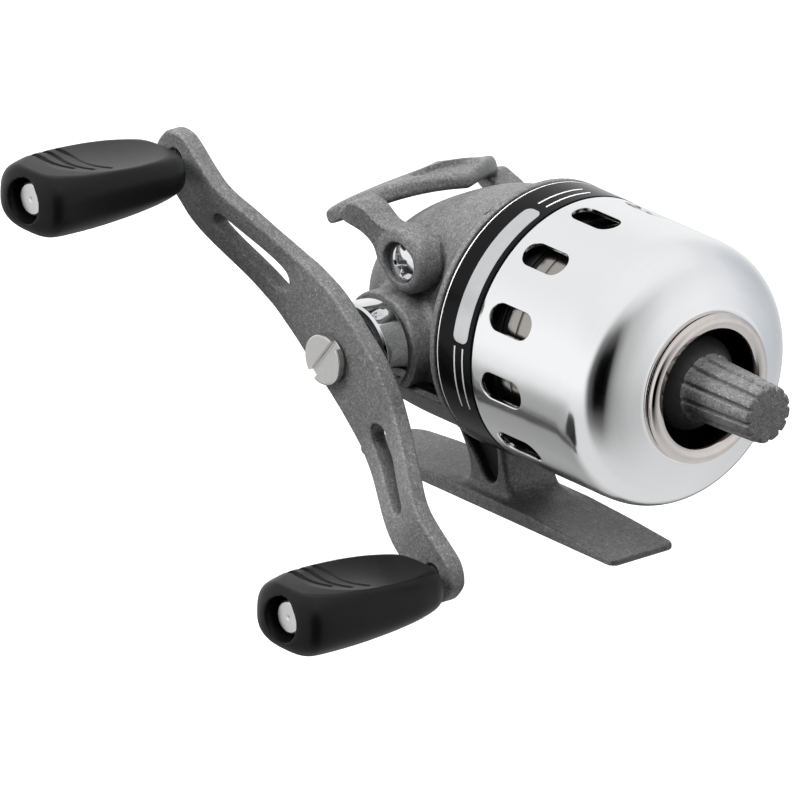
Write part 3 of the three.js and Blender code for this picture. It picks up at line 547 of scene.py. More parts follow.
def plastic(name, colour, roughness, grain, scale=1800, specular=0.5):
    """Plastic, rubber or print with a grained surface; scale is the grain's."""
    material, graph = new_material(name)
    where = graph.coords()
    broad = graph.noise(where, scale=70, detail=3)
    graph.feed(graph.shader, {
        "Base Color": graph.ramp(
            broad, [(0.25, scaled(colour, 1 - 0.2)), (0.75, scaled(colour, 1 + 0.2))]),
        "Roughness": graph.math("ADD", graph.math("MULTIPLY", broad, 0.1), roughness - 0.05),
        "Specular IOR Level": specular,
        "Coat Roughness": 0.08,
    })
    if grain:
        fine = graph.noise(where, scale, detail=3, roughness=0.6)
        graph.bump(fine, grain, distance=0.00002)
    return material


MATERIALS = {
    "grey": fleck_paint("grey_fleck_paint", base=0.170, light=0.28, roughness=0.46),
    "dark": fleck_paint("dark_fleck_paint", base=0.18, light=0.32, roughness=0.42),
    "alu": spun_metal("spun_aluminium", (0.915, 0.92, 0.93, 1), roughness=0.14,
                      line=0.02, anisotropy=0.35, bump=0.02, tone=0.02),
    "cup": spun_metal("turned_cup_aluminium", (0.40, 0.385, 0.36, 1), roughness=0.2,
                      line=0.03, anisotropy=0.3, bump=0.04),
    "ring": plain_metal("polished_steel_ring", (0.72, 0.68, 0.655, 1), roughness=0.07),
    "chrome": plain_metal("chrome", (0.86, 0.87, 0.88, 1), roughness=0.06),
    "steel": plain_metal("ground_steel", (0.62, 0.63, 0.65, 1), roughness=0.26,
                         smudge=0.12, bump=0.1),
    "screw": spun_metal("nickel_screw", (0.74, 0.735, 0.72, 1), roughness=0.24,
                        line=0.07, anisotropy=0.2, bump=0.08, axis="Y"),
    "gear": plain_metal("gear_alloy", (0.45, 0.46, 0.48, 1), roughness=0.36,
                        smudge=0.15, bump=0.15),
    "brass": plain_metal("brass", (0.72, 0.50, 0.22, 1), roughness=0.24,
                         smudge=0.12, bump=0.1),
    "gloss": plastic("gloss_black_band", (0.003, 0.003, 0.0034), roughness=0.18,
                     grain=0.02, scale=500, specular=0.10),
    "pin": plain_metal("bright_rivet", (0.92, 0.92, 0.92, 1), roughness=0.3),
    # near-black brown painted dark reflection for the chrome collar
    "painted_dark_reflection": plastic("chrome_painted_dark_reflection", (0.004, 0.003, 0.0024), roughness=0.14,
                     grain=0.0, specular=0.3),
    "painted_cone_shade": plastic("cone_shadow_paint", (0.04, 0.04, 0.04), roughness=0.5,
                    grain=0.4, scale=2400, specular=0.3),
    "soft": plastic("black_soft_plastic", (0.0042, 0.0042, 0.0046), roughness=0.34,
                    grain=0.08, scale=2200, specular=0.2),
    "spool": plastic("spool_black", (0.014, 0.014, 0.016), roughness=0.35, grain=0.05),
    # black rubber, also laid in the stem's pockets as painted shade
    "rubber_and_pocket_shade": plastic("black_rubber", (0.016, 0.016, 0.016), roughness=0.7, grain=0.3),
    "felt": plastic("felt", (0.16, 0.12, 0.09), roughness=0.95, grain=0.9, scale=3500),
    "line": plastic("fishing_line", (0.55, 0.60, 0.56), roughness=0.3, grain=0.1,
                    specular=0.6),
    "silver": plain_metal("silver_print", (0.70, 0.71, 0.72, 1), roughness=0.35, smudge=0.1),
    "white": plastic("white_print", (0.75, 0.75, 0.74), roughness=0.45, grain=0.0),
}


def place(thing, body, node):
    """Lets thing ride on a body in place of a CAD node."""
    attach(thing, body)
    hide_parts(node)


def paint_second(thing, chosen):
    """Gives the second material to faces whose centre is chosen(x, y, z)."""
    faces = thing.data.polygons
    centres = np.empty(len(faces) * 3)
    faces.foreach_get("center", centres)
    x, y, z = (centres.reshape(-1, 3) * 1000 - ORIGIN).T
    faces.foreach_set("material_index", chosen(x, y, z).astype(np.int32))


# ------------------------------------------------------------------ main frame
BELLY_R = 22.8
BELLY_W, BELLY_D = math.sqrt(BELLY_R ** 2 - LEDGE ** 2), BELLY_R + LEDGE
# x, half width at the ledge, depth below the ledge
belly_size = stations([
    [-10.4, 19.07, 10.3], [-22, 19.07, 10.3], [-30, 18.6, 9.9], [-35, 16.8, 8.4],
    [-39, 13.8, 5.8], [-42, 10.2, 3.0], [-43.6, 7.0, 1.2]], -60, 0)
# x, z from the side
STEM = curve([
    [-24.4, -19.0], [-24.4, -21.5], [-21.8, -25.2], [-20.2, -28.0], [-19.7, -30.6],
    [-21.0, -32.6], [-24.0, -33.4], [-24.0, -34.2], [-14, -34.4], [-3.0, -34.2],
    [-3.0, -33.4], [-7.0, -32.5], [-9.3, -30.6], [-10.6, -27.0], [-11.9, -22.0],
    [-13.0, -18.0], [-18, -17.6]], 4, True)
POCKET = curve([
    [-22.2, -22.9], [-17.5, -22.8], [-13.4, -23.6], [-12.5, -27.4], [-12.6, -29.4],
    [-13.4, -30.6], [-14.8, -30.7], [-16.0, -29.8], [-18.2, -27.0]], 4, True)
FOOT_SIDE = [
    [-47.8, -35.3], [18.8, -35.3], [19.0, -35.0], [19.0, -34.2], [8, -33.3],
    [-3, -32.7], [-25, -32.7], [-37, -33.3], [-48.0, -34.2], [-48.0, -35.0]]
# x, y from above
FOOT_PLAN = bend(
    [[-48, -7.15], [19, -7.15], [19, 7.15], [-48, 7.15]], [4.0, 1.6, 1.6, 4.0], 6)


def belly_field(x, y, z, inset=0.0):
    width, width_slope = belly_size(x, 0)
    depth, depth_slope = belly_size(x, 1)
    width, depth = width - inset, depth - inset
    y, z = y * BELLY_W / width, LEDGE + (z - LEDGE) * BELLY_D / depth
    radius = np.maximum(np.hypot(y, z), 1e-6)
    gy, gz = y / radius * BELLY_W / width, z / radius * BELLY_D / depth
    gx = (-(y / radius) * (y / width) * width_slope
          - (z / radius) * ((z - LEDGE) / depth) * depth_slope)
    return (radius - BELLY_R) / np.sqrt(gx ** 2 + gy ** 2 + gz ** 2 + 1e-9)


def frame_field(x, y, z):
    radius, side = np.hypot(y, z), np.abs(y)
    flange = meet(radius - 23.62, x + 9.32, -10.6 - x, edge=0.3)
    belly = meet(belly_field(x, y, z), z - LEDGE, edge=0.55)
    belly = meet(belly, -43.6 - x, edge=1.2)
    belly = meet(belly, x + 10.2)
    hollow = meet(belly_field(x, y, z, inset=1.9), slab(x, -38.6, -10.6), z + 9.0)
    stem = meet(outline_distance(STEM, x, z), side - 5.6, edge=1.1)
    body = join(belly, stem, edge=1.6)
    pocket = meet(outline_distance(POCKET, x, z), 3.3 - side, edge=0.5)
    body = cut(body, pocket, edge=0.55)
    foot = meet(
        outline_distance(FOOT_SIDE, x, z), outline_distance(FOOT_PLAN, x, y), edge=0.35)
    body = join(body, foot, edge=1.3)
    body = meet(body, -35.3 - z)  # flat underside
    body = join(body, flange, edge=0.5)
    body = cut(body, hollow, edge=0.4)
    lug = meet(slab(x, -19.6, -10.4), slab(y, -12.4, -9.8), slab(z, -15.8, -12.2))
    lug = cut(lug, rod(x, z, y, (-17.3, -14.0), 1.2, -14, -9))
    spigot = meet(radius - 21.8, 20.9 - radius, slab(x, -10, -6.6))
    hub = meet(radius - 9.3, 6.6 - radius, slab(x, -12.4, -8.8))
    body = join(body, lug, spigot, hub)
    body = cut(body, meet(radius - 6.6, slab(x, -15, -5)))  # bore
    body = cut(body, rod(side, z, x, (9.3, 2.0), 1.6, -14, -8))
    for centre in BOSSES:
        body = cut(body, rod(side, z, x, centre, BOSS_HOLE, -14, -9))
    return body


casting = field_mesh(
    "frame_casting", frame_field, (-49.2, -24.6, -36.4), (20.2, 24.6, 24.6), 0.36,
    ["grey", "rubber_and_pocket_shade"])
# the floor and walls of the stem's pockets get the black rubber as painted shade in the recess
paint_second(casting, lambda x, y, z: (
    (outline_distance(POCKET, x, z) < 0.25) & (np.abs(y) > 3.0) & (np.abs(y) < 4.9)))
place(casting, "frame", "main_frame")

# ------------------------------------------------------------------ rear housing
HOUSING_SEAM = LEDGE + 0.3
SHELL_Z = -4.0  # height at which the shell is widest; its walls are straight below
# x, half width, z of the top
shell_size = stations([
    [-10.9, 18.2, 21.8], [-13, 17.3, 21.4], [-16, 16.0, 20.9], [-20, 15.0, 19.9],
    [-25, 14.6, 17.9], [-31, 14.2, 14.8], [-36, 13.2, 11.4], [-40, 11.2, 7.2],
    [-42.6, 8.6, 2.6], [-44.0, 5.6, -1.6]], -60, 0)


def shell_field(x, y, z):
    width, width_slope = shell_size(x, 0)
    top, top_slope = shell_size(x, 1)
    height = np.maximum(top - SHELL_Z, 0.8)
    up = np.maximum(z - SHELL_Z, 0)
    return oval(np.abs(y), up, width, height, 2.5, width_slope, top_slope)


def housing_field(x, y, z):
    side = np.abs(y)
    shell = shell_field(x, y, z)
    body = meet(shell, x + 10.92, edge=0.3)
    body = meet(body, -44.0 - x, edge=1.4)
    body = join(body, rod(x, z, y, CRANK, 9.0, -20.0, -10.0, edge=0.55), edge=1.4)
    body = cut(body, meet(shell + 1.6, slab(x, -41.5, -10.0), -30 - z))  # hollow
    # lever hubs on both sides, with a flat seat and a hole
    body = join(body, rod(x, z, side, LEVER, 4.3, 10.4, 13.4))
    body = cut(body, rod(x, z, side, LEVER, 6.4, 13.4, 25), edge=0.35)
    body = cut(body, rod(x, z, side, LEVER, 2.8, 9, 16))
    body = join(body, rod(x, z, y, CRANK, 6.6, 9.2, 13.6))  # far crank boss
    for centre in BOSSES:
        body = join(body, rod(side, z, x, centre, 2.3, -18.5, -10.92))
        body = cut(body, rod(side, z, x, centre, BOSS_HOLE, -17.5, -10))
    # stepped crank bore
    body = cut(body, rod(x, z, y, CRANK, 6.35, -22, -14.9), edge=0.2)
    body = cut(body, rod(x, z, y, CRANK, 5.2, -15.2, -11.0))
    body = cut(body, rod(x, z, y, CRANK, 5.75, 8.0, 12.6))
    # short slit at the upper near side, behind the flange
    angle = np.arctan2(z, -y) / DEGREE - 68
    slit = meet(np.abs(x + 12.9 - 0.12 * angle) - 0.3, np.abs(angle) * 0.37 - 1.6,
                19.3 - np.hypot(y, z))
    body = cut(body, slit, edge=0.12)
    return meet(body, HOUSING_SEAM - z, edge=0.25)


housing = field_mesh(
    "rear_housing_casting", housing_field, (-45.2, -21.0, -13.4), (-9.9, 19.2, 23.0), 0.3,
    ["grey"])
place(housing, "frame", "rear_housing")

# ------------------------------------------------------------------ front cover
SLOTS_ROUND = 12
SLOT_X = 7.4
SLOT_HALF_LENGTH, SLOT_HALF_WIDTH = 5.0, 2.4
BELT = (0.9, 14.3)  # x of the rear and front ends of the slotted belt
OUTER_BEVEL, INNER_BEVEL = 0.22, 0.12  # at the slots
END_STEPS, SIDE_STEPS = 16, 10  # vertices along each end and side of a slot
FIRST_SLOT = -7.5 * DEGREE


def cover_object():
    pitch = 2 * math.pi / SLOTS_ROUND
    half = COVER_R * pitch / 2
    straight = SLOT_HALF_LENGTH - SLOT_HALF_WIDTH
    rear_x, front_x = BELT
    # outlines of one patch of the belt and of its slot, as (x, arc)
    patch, slot = [], []
    for side, start_x, end_x in ((1, front_x, rear_x), (-1, rear_x, front_x)):
        for i in range(END_STEPS):
            t = i / END_STEPS
            angle = -math.pi / 2 + math.pi * t
            patch.append((start_x, side * (2 * half * t - half)))
            slot.append((SLOT_X + side * (straight + SLOT_HALF_WIDTH * math.cos(angle)),
                         side * SLOT_HALF_WIDTH * math.sin(angle)))
        for i in range(SIDE_STEPS):
            t = i / SIDE_STEPS
            patch.append((start_x + (end_x - start_x) * t, side * half))
            slot.append((SLOT_X + side * straight * (1 - 2 * t), side * SLOT_HALF_WIDTH))
    patch, slot = np.array(patch), np.array(slot)
    spine = np.clip(slot[:, 0], SLOT_X - straight, SLOT_X + straight)
    outward = unit(np.stack([slot[:, 0] - spine, slot[:, 1]], 1))

    # loops of (outline, radius) from the outer skin through the slot to the inner skin
    loops = []
    for blend in (0, 0.3, 0.6, 0.82):
        loops.append((patch * (1 - blend) + (slot + outward * OUTER_BEVEL) * blend, COVER_R))
    for k in range(5):
        angle = k / 4 * math.pi / 2
        loops.append((slot + outward * OUTER_BEVEL * (1 - math.sin(angle)),
                      COVER_R - OUTER_BEVEL * (1 - math.cos(angle))))
    loops.append((slot, COVER_R - 0.55))
    for k in range(3):
        angle = k / 2 * math.pi / 2
        loops.append((slot + outward * INNER_BEVEL * (1 - math.cos(angle)),
                      COVER_INNER_R + INNER_BEVEL * (1 - math.sin(angle))))
    for blend in (0.6, 0.0):
        edge = patch * (1 - blend) + (slot + outward * INNER_BEVEL) * blend
        loops.append((edge, COVER_INNER_R))
    points, quads = [], []
    count = len(patch)
    for k in range(SLOTS_ROUND):
        quads.append(ring_quads(len(loops), count, start=k * len(loops) * count))
        for edge, radius in loops:
            angle = FIRST_SLOT + pitch * k + edge[:, 1] / COVER_R
            points.append(ring(edge[:, 0], radius, angle))

    # turned strips in front of and behind the belt, as (x, radius)
    dome = curve([[14.0, 23.5], [22.0, 23.5], [25.8, 22.85], [28.8, 20.85], [30.8, 17.7],
                  [32.45, 13.3], [33.2, 11.0]], 8)
    dome = [tuple(point) for point in dome if 21.0 < point[0] < 32.41 and point[1] >= 13.29]
    front = [
        (front_x, COVER_R), (18.5, COVER_R), *dome, (32.36, 12.95), (32.1, 12.62),
        (31.6, 12.6), (29.7, 17.2), (27.6, 20.3), (24.8, 22.1), (21.5, 22.6),
        (front_x, COVER_INNER_R)]
    rear = [
        (rear_x, COVER_INNER_R), (0.6, 22.6), (-0.4, 22.1), (-8.85, 22.1), (-9.0, 22.25),
        (-9.0, 22.75), (-8.85, 22.9), (-0.1, 22.9), (0.0, 22.95), (0.0, 23.25),
        (0.07, 23.43), (0.25, 23.5), (rear_x, COVER_R)]
    count = SLOTS_ROUND * END_STEPS
    angles = FIRST_SLOT - pitch / 2 + np.arange(count) * 2 * math.pi / count
    for profile in (front, rear):
        start = sum(len(part) for part in points)
        points += [ring(x, radius, angles) for x, radius in profile]
        quads.append(ring_quads(len(profile), count, start=start)[:, ::-1])
    return welded_mesh("vented_cover", np.concatenate(points), np.concatenate(quads),
                       ["alu"], tolerance=2e-3)


place(cover_object(), "frame", "front_cover")

# ------------------------------------------------------------------ band behind the cover
band = turned(
    "trim_band", [(-9.0, 23.2), (-9.0, BAND_R), (-0.25, BAND_R), (-0.25, 23.2)], ["gloss"],
    rounding=0.12, segments=192)
place(band, "frame", "label_band")

PRINT_R = BAND_R + 0.005
PRINT_RADII = np.array([-0.02, 0.03, 0.03, -0.02]) + PRINT_R
# name, rear x, front x, first and last angle in degrees, material, corner radius
PRINTS = [
    ("band_field", -4.8, -1.3, 5.5, 72, "silver", 1.3),
    ("band_line_rear", -8.55, -8.35, -60, 120, "white", 0),
    ("band_line_up_a", -4.35, -4.05, 76, 100, "white", 0),
    ("band_line_up_b", -2.35, -2.05, 76, 100, "white", 0),
    ("band_line_down_a", -4.35, -4.05, -25, 3.5, "white", 0),
    ("band_line_down_b", -2.35, -2.05, -25, 3.5, "white", 0),
]


def band_print(name, x0, x1, angle0, angle1, material, corner):
    """Thin printed rectangle laid round the band."""
    arc0, arc1 = angle0 * DEGREE * PRINT_R, angle1 * DEGREE * PRINT_R
    outline = np.array(bend([(x0, arc0), (x1, arc0), (x1, arc1), (x0, arc1)], corner, 6))
    count = max(12, int(abs(arc1 - arc0) / 0.4))
    arcs = np.unique(np.concatenate([np.linspace(arc0, arc1, count), outline[:, 1]]))
    points = []
    for arc in arcs:
        inset = 0
        from_end = min(arc - arc0, arc1 - arc)
        if from_end < corner:
            inset = corner - math.sqrt(max(corner * corner - (corner - from_end) ** 2, 0))
        low, high = x0 + inset, x1 - inset
        points.append(ring(np.array([low, low, high, high]), PRINT_RADII, arc / PRINT_R))
    points = np.concatenate(points)
    last = len(points) - 4
    caps = [[0, 3, 2, 1], [last, last + 1, last + 2, last + 3]]
    quads = np.concatenate([ring_quads(len(arcs), 4), caps])
    return new_mesh(name, points, quads.tolist(), area_normals(points, quads), [material])


for row in PRINTS:
    printed = band_print(*row)
    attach(printed, "frame")

# ------------------------------------------------------------------ turned parts
# profiles are (x, radius)
guide = turned("line_guide_ring", curve([
    [31.9, 12.2], [32.6, 12.9], [33.1, 13.15], [33.7, 12.95], [34.15, 12.3], [34.2, 11.6],
    [33.9, 10.8], [33.3, 10.4], [32.5, 10.42], [32.0, 10.6], [31.9, 11.4],
], 4, True), ["ring"], rounding=0, segments=192)
place(guide, "frame", "guide_ring")

cup = turned("cup_bright", [
    (4.6, 19.5), (4.6, 20.9), (6.9, 20.9), (6.95, 20.55), (7.35, 20.55), (7.4, 20.9),
    (21.2, 20.9), (23.2, 20.5), (24.6, 19.4), (25.4, 17.6), (24.6, 17.4), (23.4, 19.3),
    (21.6, 20.0),
], ["cup"], rounding=0.12)
place(cup, "winding_rotor", "winding_cup")

rotor = turned("rotor_drum", [
    (-4.6, 3.15), (-4.6, 20.4), (-4.2, 20.8), (3.2, 20.8), (3.2, 20.1), (4.2, 20.1),
    (4.2, 19.4), (-3.0, 19.4), (-3.0, 5.2), (-1.0, 5.2), (-1.0, 3.15),
], ["spool"], rounding=0.15, segments=128)
place(rotor, "winding_rotor", "rotor")

spool = turned("spool_turned", [
    (4.6, 1.4), (4.6, 9.6), (1.0, 9.6), (1.0, 17.6), (1.5, 18.1), (2.3, 18.1), (2.3, 10.4),
    (20.5, 10.4), (20.5, 18.6), (21.4, 18.6), (22.0, 17.6), (22.0, 8.9), (13.0, 8.9),
    (13.0, 1.4),
], ["spool"], rounding=0.2, segments=128)
place(spool, "spool_unit", "spool")

# collar round the crank shaft, as (y, radius)
# its second material is the painted dark reflection; no face is given it
collar = turned("chrome_collar", [
    (-20.3, 6.1), (-20.3, 7.8), (-20.8, 8.1), (-21.3, 8.1), (-24.8, 8.1), (-25.2, 8.1),
    (-25.65, 7.75), (-25.65, 6.45), (-25.3, 6.1),
], ["chrome", "painted_dark_reflection"], CRANK, rounding=0.16, segments=128)
place(collar, "frame", "bearing_retainer")

# ------------------------------------------------------------------ nose drag knob
FLUTES = 12
FLUTE_DEPTH, LAND_CROWN = 0.62, 0.10
KNOB_SEGMENTS = 360
# (x, radius)
NOSE_OUTSIDE = [
    (22.9, 7.4), (22.9, 8.0), (23.3, 8.3), (29.4, 8.3),
    *curve([[30.0, 8.26], [30.6, 8.0], [31.6, 7.15], [32.6, 6.3], [33.4, 5.8], [34.2, 5.6],
            [36.0, 5.52]], 5),
    (40.0, 5.38), (44.0, 5.22), (47.6, 5.07), (48.05, 4.98), (48.25, 4.75), (48.3, 4.4),
    (48.3, 2.2), (48.3, 0.0)]
NOSE_BORE = [(44.6, 0.0), (44.6, 1.35), (25.0, 1.35), (25.0, 7.4)]


def nose_knob():
    profile = []  # with more rings, for the start and end of the flutes
    for (x0, r0), (x1, r1) in zip(NOSE_OUTSIDE[:-1], NOSE_OUTSIDE[1:]):
        count = max(1, int(abs(x1 - x0) / 0.5))
        profile += [(x0 + (x1 - x0) * i / count, r0 + (r1 - r0) * i / count)
                    for i in range(count)]
    profile.append(NOSE_OUTSIDE[-1])
    angles = np.arange(KNOB_SEGMENTS) * 2 * math.pi / KNOB_SEGMENTS
    phase = ((angles / (2 * math.pi) * FLUTES) + 0.25) % 1.0
    from_land = np.abs(phase - 0.5) * 2  # 0 in the middle of a land, 1 in a groove
    groove = ease((from_land - 0.62) / 0.38)
    rings = []
    for x, radius in profile:
        fade = ease((x - 32.3) / 1.4)
        depth = FLUTE_DEPTH * fade
        if radius < 4.9:
            depth *= (radius / 4.9) ** 2
        fluted = radius - depth * groove - LAND_CROWN * (from_land ** 2) * fade
        rings.append(ring(x, np.maximum(fluted, 0.0), angles))
    rings += [ring(x, radius, angles) for x, radius in NOSE_BORE]
    quads = ring_quads(len(rings), KNOB_SEGMENTS, closed=True)[:, ::-1]
    return welded_mesh("nose_knob", np.concatenate(rings), quads, ["dark", "painted_cone_shade"])


nose = nose_knob()
# the skirt and cone get a near-black grey as painted shade inside the cover
paint_second(nose, lambda x, y, z: (x > 22.0) & (x < 32.9))  # skirt and cone
place(nose, "drag_control", "drag_knob")

# ------------------------------------------------------------------ thumb lever
# x, z of the side straps
STRAP_NEAR = curve([
    [-38.6, 13.2], [-37.6, 15.4], [-35.6, 16.8], [-33.0, 16.4], [-29.0, 14.2], [-24.3, 14.4],
    [-22.0, 12.0], [-23.0, 9.0], [-26.0, 7.0], [-29.8, 7.4], [-31.6, 10.0], [-34.2, 11.8],
], 4, True)
STRAP_FAR = curve([
    [-42.6, 11.0], [-41.2, 12.5], [-38.4, 11.8], [-34.0, 11.1], [-29.0, 11.3], [-24.3, 14.4],
    [-22.0, 12.0], [-24.0, 7.0], [-29.8, 5.8], [-35.0, 7.4]], 4, True)
PAD_HALF = 17.7  # half length of the thumb bar across the reel
PAD_TIP = 3.4  # length of its rounded tips


def pad_field(x, y, z):
    """Thumb bar swept back and down towards its tips, with a dish in the middle."""
    side = np.abs(y)
    t = np.clip(side / PAD_HALF, 0, 1.0)
    tilt = np.minimum(1 + 34 * t, 30) * DEGREE
    cos, sin = np.cos(tilt), np.sin(tilt)
    dx, dz = x - (-32.4 - 10.8 * t ** 1.9), z - (18.1 - 6.9 * t ** 2.4)
    across, up = dx * cos + dz * sin, -dx * sin + dz * cos
    tip = np.clip((side - (PAD_HALF - PAD_TIP)) / PAD_TIP, 0, 0.999)
    taper = np.sqrt(1 - tip * tip)
    half_width = (4.7 - 3.4 * t + 1.3 * t * t) * (0.3 + 0.7 * taper)
    half_height = (1.4 + 0.25 * t) * (0.55 + 0.45 * taper)
    corner = 1.2 * (0.55 + 0.45 * taper)
    over_x = np.abs(across) - (half_width - corner)
    over_z = np.abs(up) - (half_height - corner)
    pad = (np.hypot(np.maximum(over_x, 0), np.maximum(over_z, 0))
           + np.minimum(np.maximum(over_x, over_z), 0) - corner)
    dish = np.maximum(0, 1 - (np.abs(y / 6.9) ** 2.6 + np.abs(across / 2.9) ** 2.6))
    pad = pad + np.where(up > 0, 0.95 * np.minimum(dish * 4.5, 1.0), 0)
    return meet(pad, side - PAD_HALF)


def evened(field, x, y, z, step=0.05):
    """First-order distance of a field whose slope is not 1."""
    value = field(x, y, z)
    steepness = np.sqrt(
        ((field(x + step, y, z) - value) / step) ** 2
        + ((field(x, y + step, z) - value) / step) ** 2
        + ((field(x, y, z + step) - value) / step) ** 2)
    return value / np.maximum(steepness, 0.2)


def lever_field(x, y, z):
    side = np.abs(y)
    radius = np.hypot(x - LEVER[0], z - LEVER[1])
    flare = ease((radius - 5.5) / 9.0)
    outer, inner = 18.5 + 1.6 * flare, 13.75 + 0.2 * flare
    outline = np.where(
        y < 0, outline_distance(STRAP_NEAR, x, z), outline_distance(STRAP_FAR, x, z))
    strap = meet(outline, slab(side, inner, outer), edge=0.6)
    boss = meet(radius - 5.7, side - 18.5, edge=1.9)
    boss = meet(boss, 13.75 - side, edge=0.3)
    arm = join(strap, boss, edge=1.2)
    lever = join(evened(pad_field, x, y, z), arm, edge=1.1)
    # screw seat, recess on the inner face and through hole
    lever = cut(lever, meet(radius - 3.65, 17.4 - side), edge=0.15)
    lever = cut(lever, meet(radius - 2.75, side - 16.6))
    return cut(lever, radius - 1.5)


thumb_bar = field_mesh(
    "lever_thumb_bar", lever_field, (-48.0, -21.4, 2.2), (-17.6, 21.4, 23.0), 0.25, ["grey"])
place(thumb_bar, "lever", "thumb_lever")

# ------------------------------------------------------------------ crank arm
# here x runs along the arm and z across its width
# distance from the axis, upper edge, lower edge; the same on both halves
ARM_HALF = [
    [48.2, 1.4, -1.4], [47.4, 2.9, -2.9], [45.6, 4.2, -4.2], [43.4, 4.7, -4.7],
    [38, 4.6, -4.75], [33, 4.8, -4.9], [28, 5.4, -5.1], [22, 5.5, -5.4],
    [17, 6.1, -5.6], [13, 7.4, -5.2], [7, 8.9, -4.85]]
ARM_ROWS = [[-x, up, low] for x, up, low in ARM_HALF] + [[0, 9.1, -4.9]] + ARM_HALF[::-1]
ARM_OUTLINE = curve(
    [(x, up) for x, up, low in ARM_ROWS] + [(x, low) for x, up, low in ARM_ROWS[::-1]],
    4, True)
ARM_SLOT = [
    [15.6, -1.7], [17.4, -2.2], [24, -2.0], [29.6, -1.5], [30.9, -0.9], [31.3, 0],
    [30.9, 0.9], [29.6, 1.4], [24, 1.8], [17.4, 2.2], [15.6, 1.8], [14.6, 0.9],
    [14.3, 0], [14.6, -0.9]]
ARM_SLOTS = [curve([(s * x, z) for x, z in ARM_SLOT][::s], 3, True) for s in (1, -1)]
ARM_THICKNESS = 3.3
ARM_Y, ARM_OFFSET = -31.3, 6.0  # outer face at the axis, and how far out the ends step
BEND_START, BEND_LENGTH = 14, 22


def arm_field(x, y, z):
    t = np.clip((np.abs(x) - BEND_START) / BEND_LENGTH, 0, 1)
    face = ARM_Y - ARM_OFFSET * ease(t)
    slope = -ARM_OFFSET / BEND_LENGTH * 6 * t * (1 - t)
    thickness = slab(y - face, 0.0, ARM_THICKNESS) / np.sqrt(1 + slope ** 2)
    body = meet(outline_distance(ARM_OUTLINE, x, z), thickness, edge=0.5)
    for slot in ARM_SLOTS:
        body = cut(body, outline_distance(slot, x, z), edge=0.4)
    for side in (-1, 1):
        body = cut(body, np.hypot(x - side * KNOB_REACH, z) - 1.9, edge=0.2)
    return cut(body, np.hypot(x, z) - 2.0, edge=0.2)


arm = field_mesh(
    "crank_arm", arm_field, (-49.4, -38.6, -6.8), (49.4, -26.8, 10.4), 0.26, ["grey"],
    CRANK, ARM_ANGLE, max_step=0.1)
place(arm, "crank", "handle_arm")


def handle_screw_field(x, y, z):
    radius = np.hypot(x, z)
    head = meet(radius - 4.4, slab(y, -33.0, -31.6), edge=0.22)
    head = cut(head, meet(np.abs(x) - 0.85, y + 32.0), edge=0.08)  # driver slot
    return join(head, meet(radius - 1.6, slab(y, -32.0, -20.5)))


FINE = {"probe": 0.02, "normal_probe": 0.04}  # gradient steps for the small parts
handle_screw = field_mesh(
    "slotted_handle_screw", handle_screw_field, (-4.9, -33.4, -4.9), (4.9, -20.1, 4.9), 0.16,
    ["screw"], CRANK, ARM_ANGLE, **FINE)
place(handle_screw, "crank", "handle_screw")

# ------------------------------------------------------------------ paddle knobs
# distance from the outer end, half width, top, bottom
paddle_size = stations([
    [0, 6.9, 4.7, -5.5], [1.2, 7.6, 5.1, -5.9], [4, 8.4, 5.7, -6.25], [8, 8.8, 6.1, -6.3],
    [13, 9.0, 6.0, -6.2], [18, 9.0, 5.6, -5.9], [23, 8.8, 4.9, -5.4], [28, 7.9, 4.0, -4.7],
    [31.4, 6.2, 3.3, -4.0], [32.4, 5.4, 3.0, -3.6]], -2, 36)
# distance from the outer end, height of the flat top
panel_height = stations([
    [0, 5.2], [4, 5.1], [11, 4.65], [17, 4.25], [23, 3.8], [28, 3.3], [32.4, 2.8]], -4, 38)
# x, distance from the outer end
GROOVES = [curve(groove, 4) for groove in (
    [(-7.3, 7.3), (-5.4, 7.9), (-2.9, 7.7), (-0.3, 8.1), (2.0, 9.3)],
    [(-7.0, 10.2), (-4.8, 10.8), (-1.2, 10.4), (1.8, 10.9), (4.0, 12.0)],
    [(-6.6, 13.1), (-3.8, 13.6), (-0.8, 13.3), (2.2, 13.8), (4.8, 15.2)])]
# rivet pin, as (y, radius)
PIN = [
    (-68.9, 0.0), (-68.98, 0.3), (-69.0, 0.6), (-69.0, 2.6), (-68.75, 2.95),
    (-67.0, 2.95), (-67.0, 1.5), (-33.8, 1.5), (-33.8, 0.0)]


def path_distance(x, y, points):
    squared = np.inf
    for (x0, y0), (x1, y1) in zip(points[:-1], points[1:]):
        ex, ey = x1 - x0, y1 - y0
        t = np.clip(((x - x0) * ex + (y - y0) * ey) / (ex * ex + ey * ey), 0, 1)
        squared = np.minimum(squared, (x - x0 - ex * t) ** 2 + (y - y0 - ey * t) ** 2)
    return np.sqrt(squared)


def paddle_field(x, y, z):
    """Paddle knob with x and z measured from its pin."""
    along = y - KNOB_END
    width, width_slope = paddle_size(along, 0)
    top, _ = paddle_size(along, 1)
    bottom, _ = paddle_size(along, 2)
    up = np.abs(z - (top + bottom) / 2)
    body = oval(np.abs(x), up, width, (top - bottom) / 2, 2.7, width_slope)
    body = meet(body, slab(along, 0.25, 32.4), edge=2.6)
    # flat top with a faint hollow and three grooves
    hollow = np.maximum(0, 1 - ((x / 7.2) ** 2 + ((along - 18.5) / 12.5) ** 2))
    panel, _ = panel_height(along, 0)
    body = meet(body, z - (panel - 0.55 * hollow), edge=0.28)
    for groove in GROOVES:
        tube = np.hypot(path_distance(x, along, groove), z - (panel - 0.05)) - 0.55
        body = cut(body, tube, edge=0.12)
    radius = np.hypot(x, z)
    body = cut(body, meet(radius - 3.95, along - 4.4), edge=0.25)  # recess for the pin head
    return cut(body, radius - 1.9)


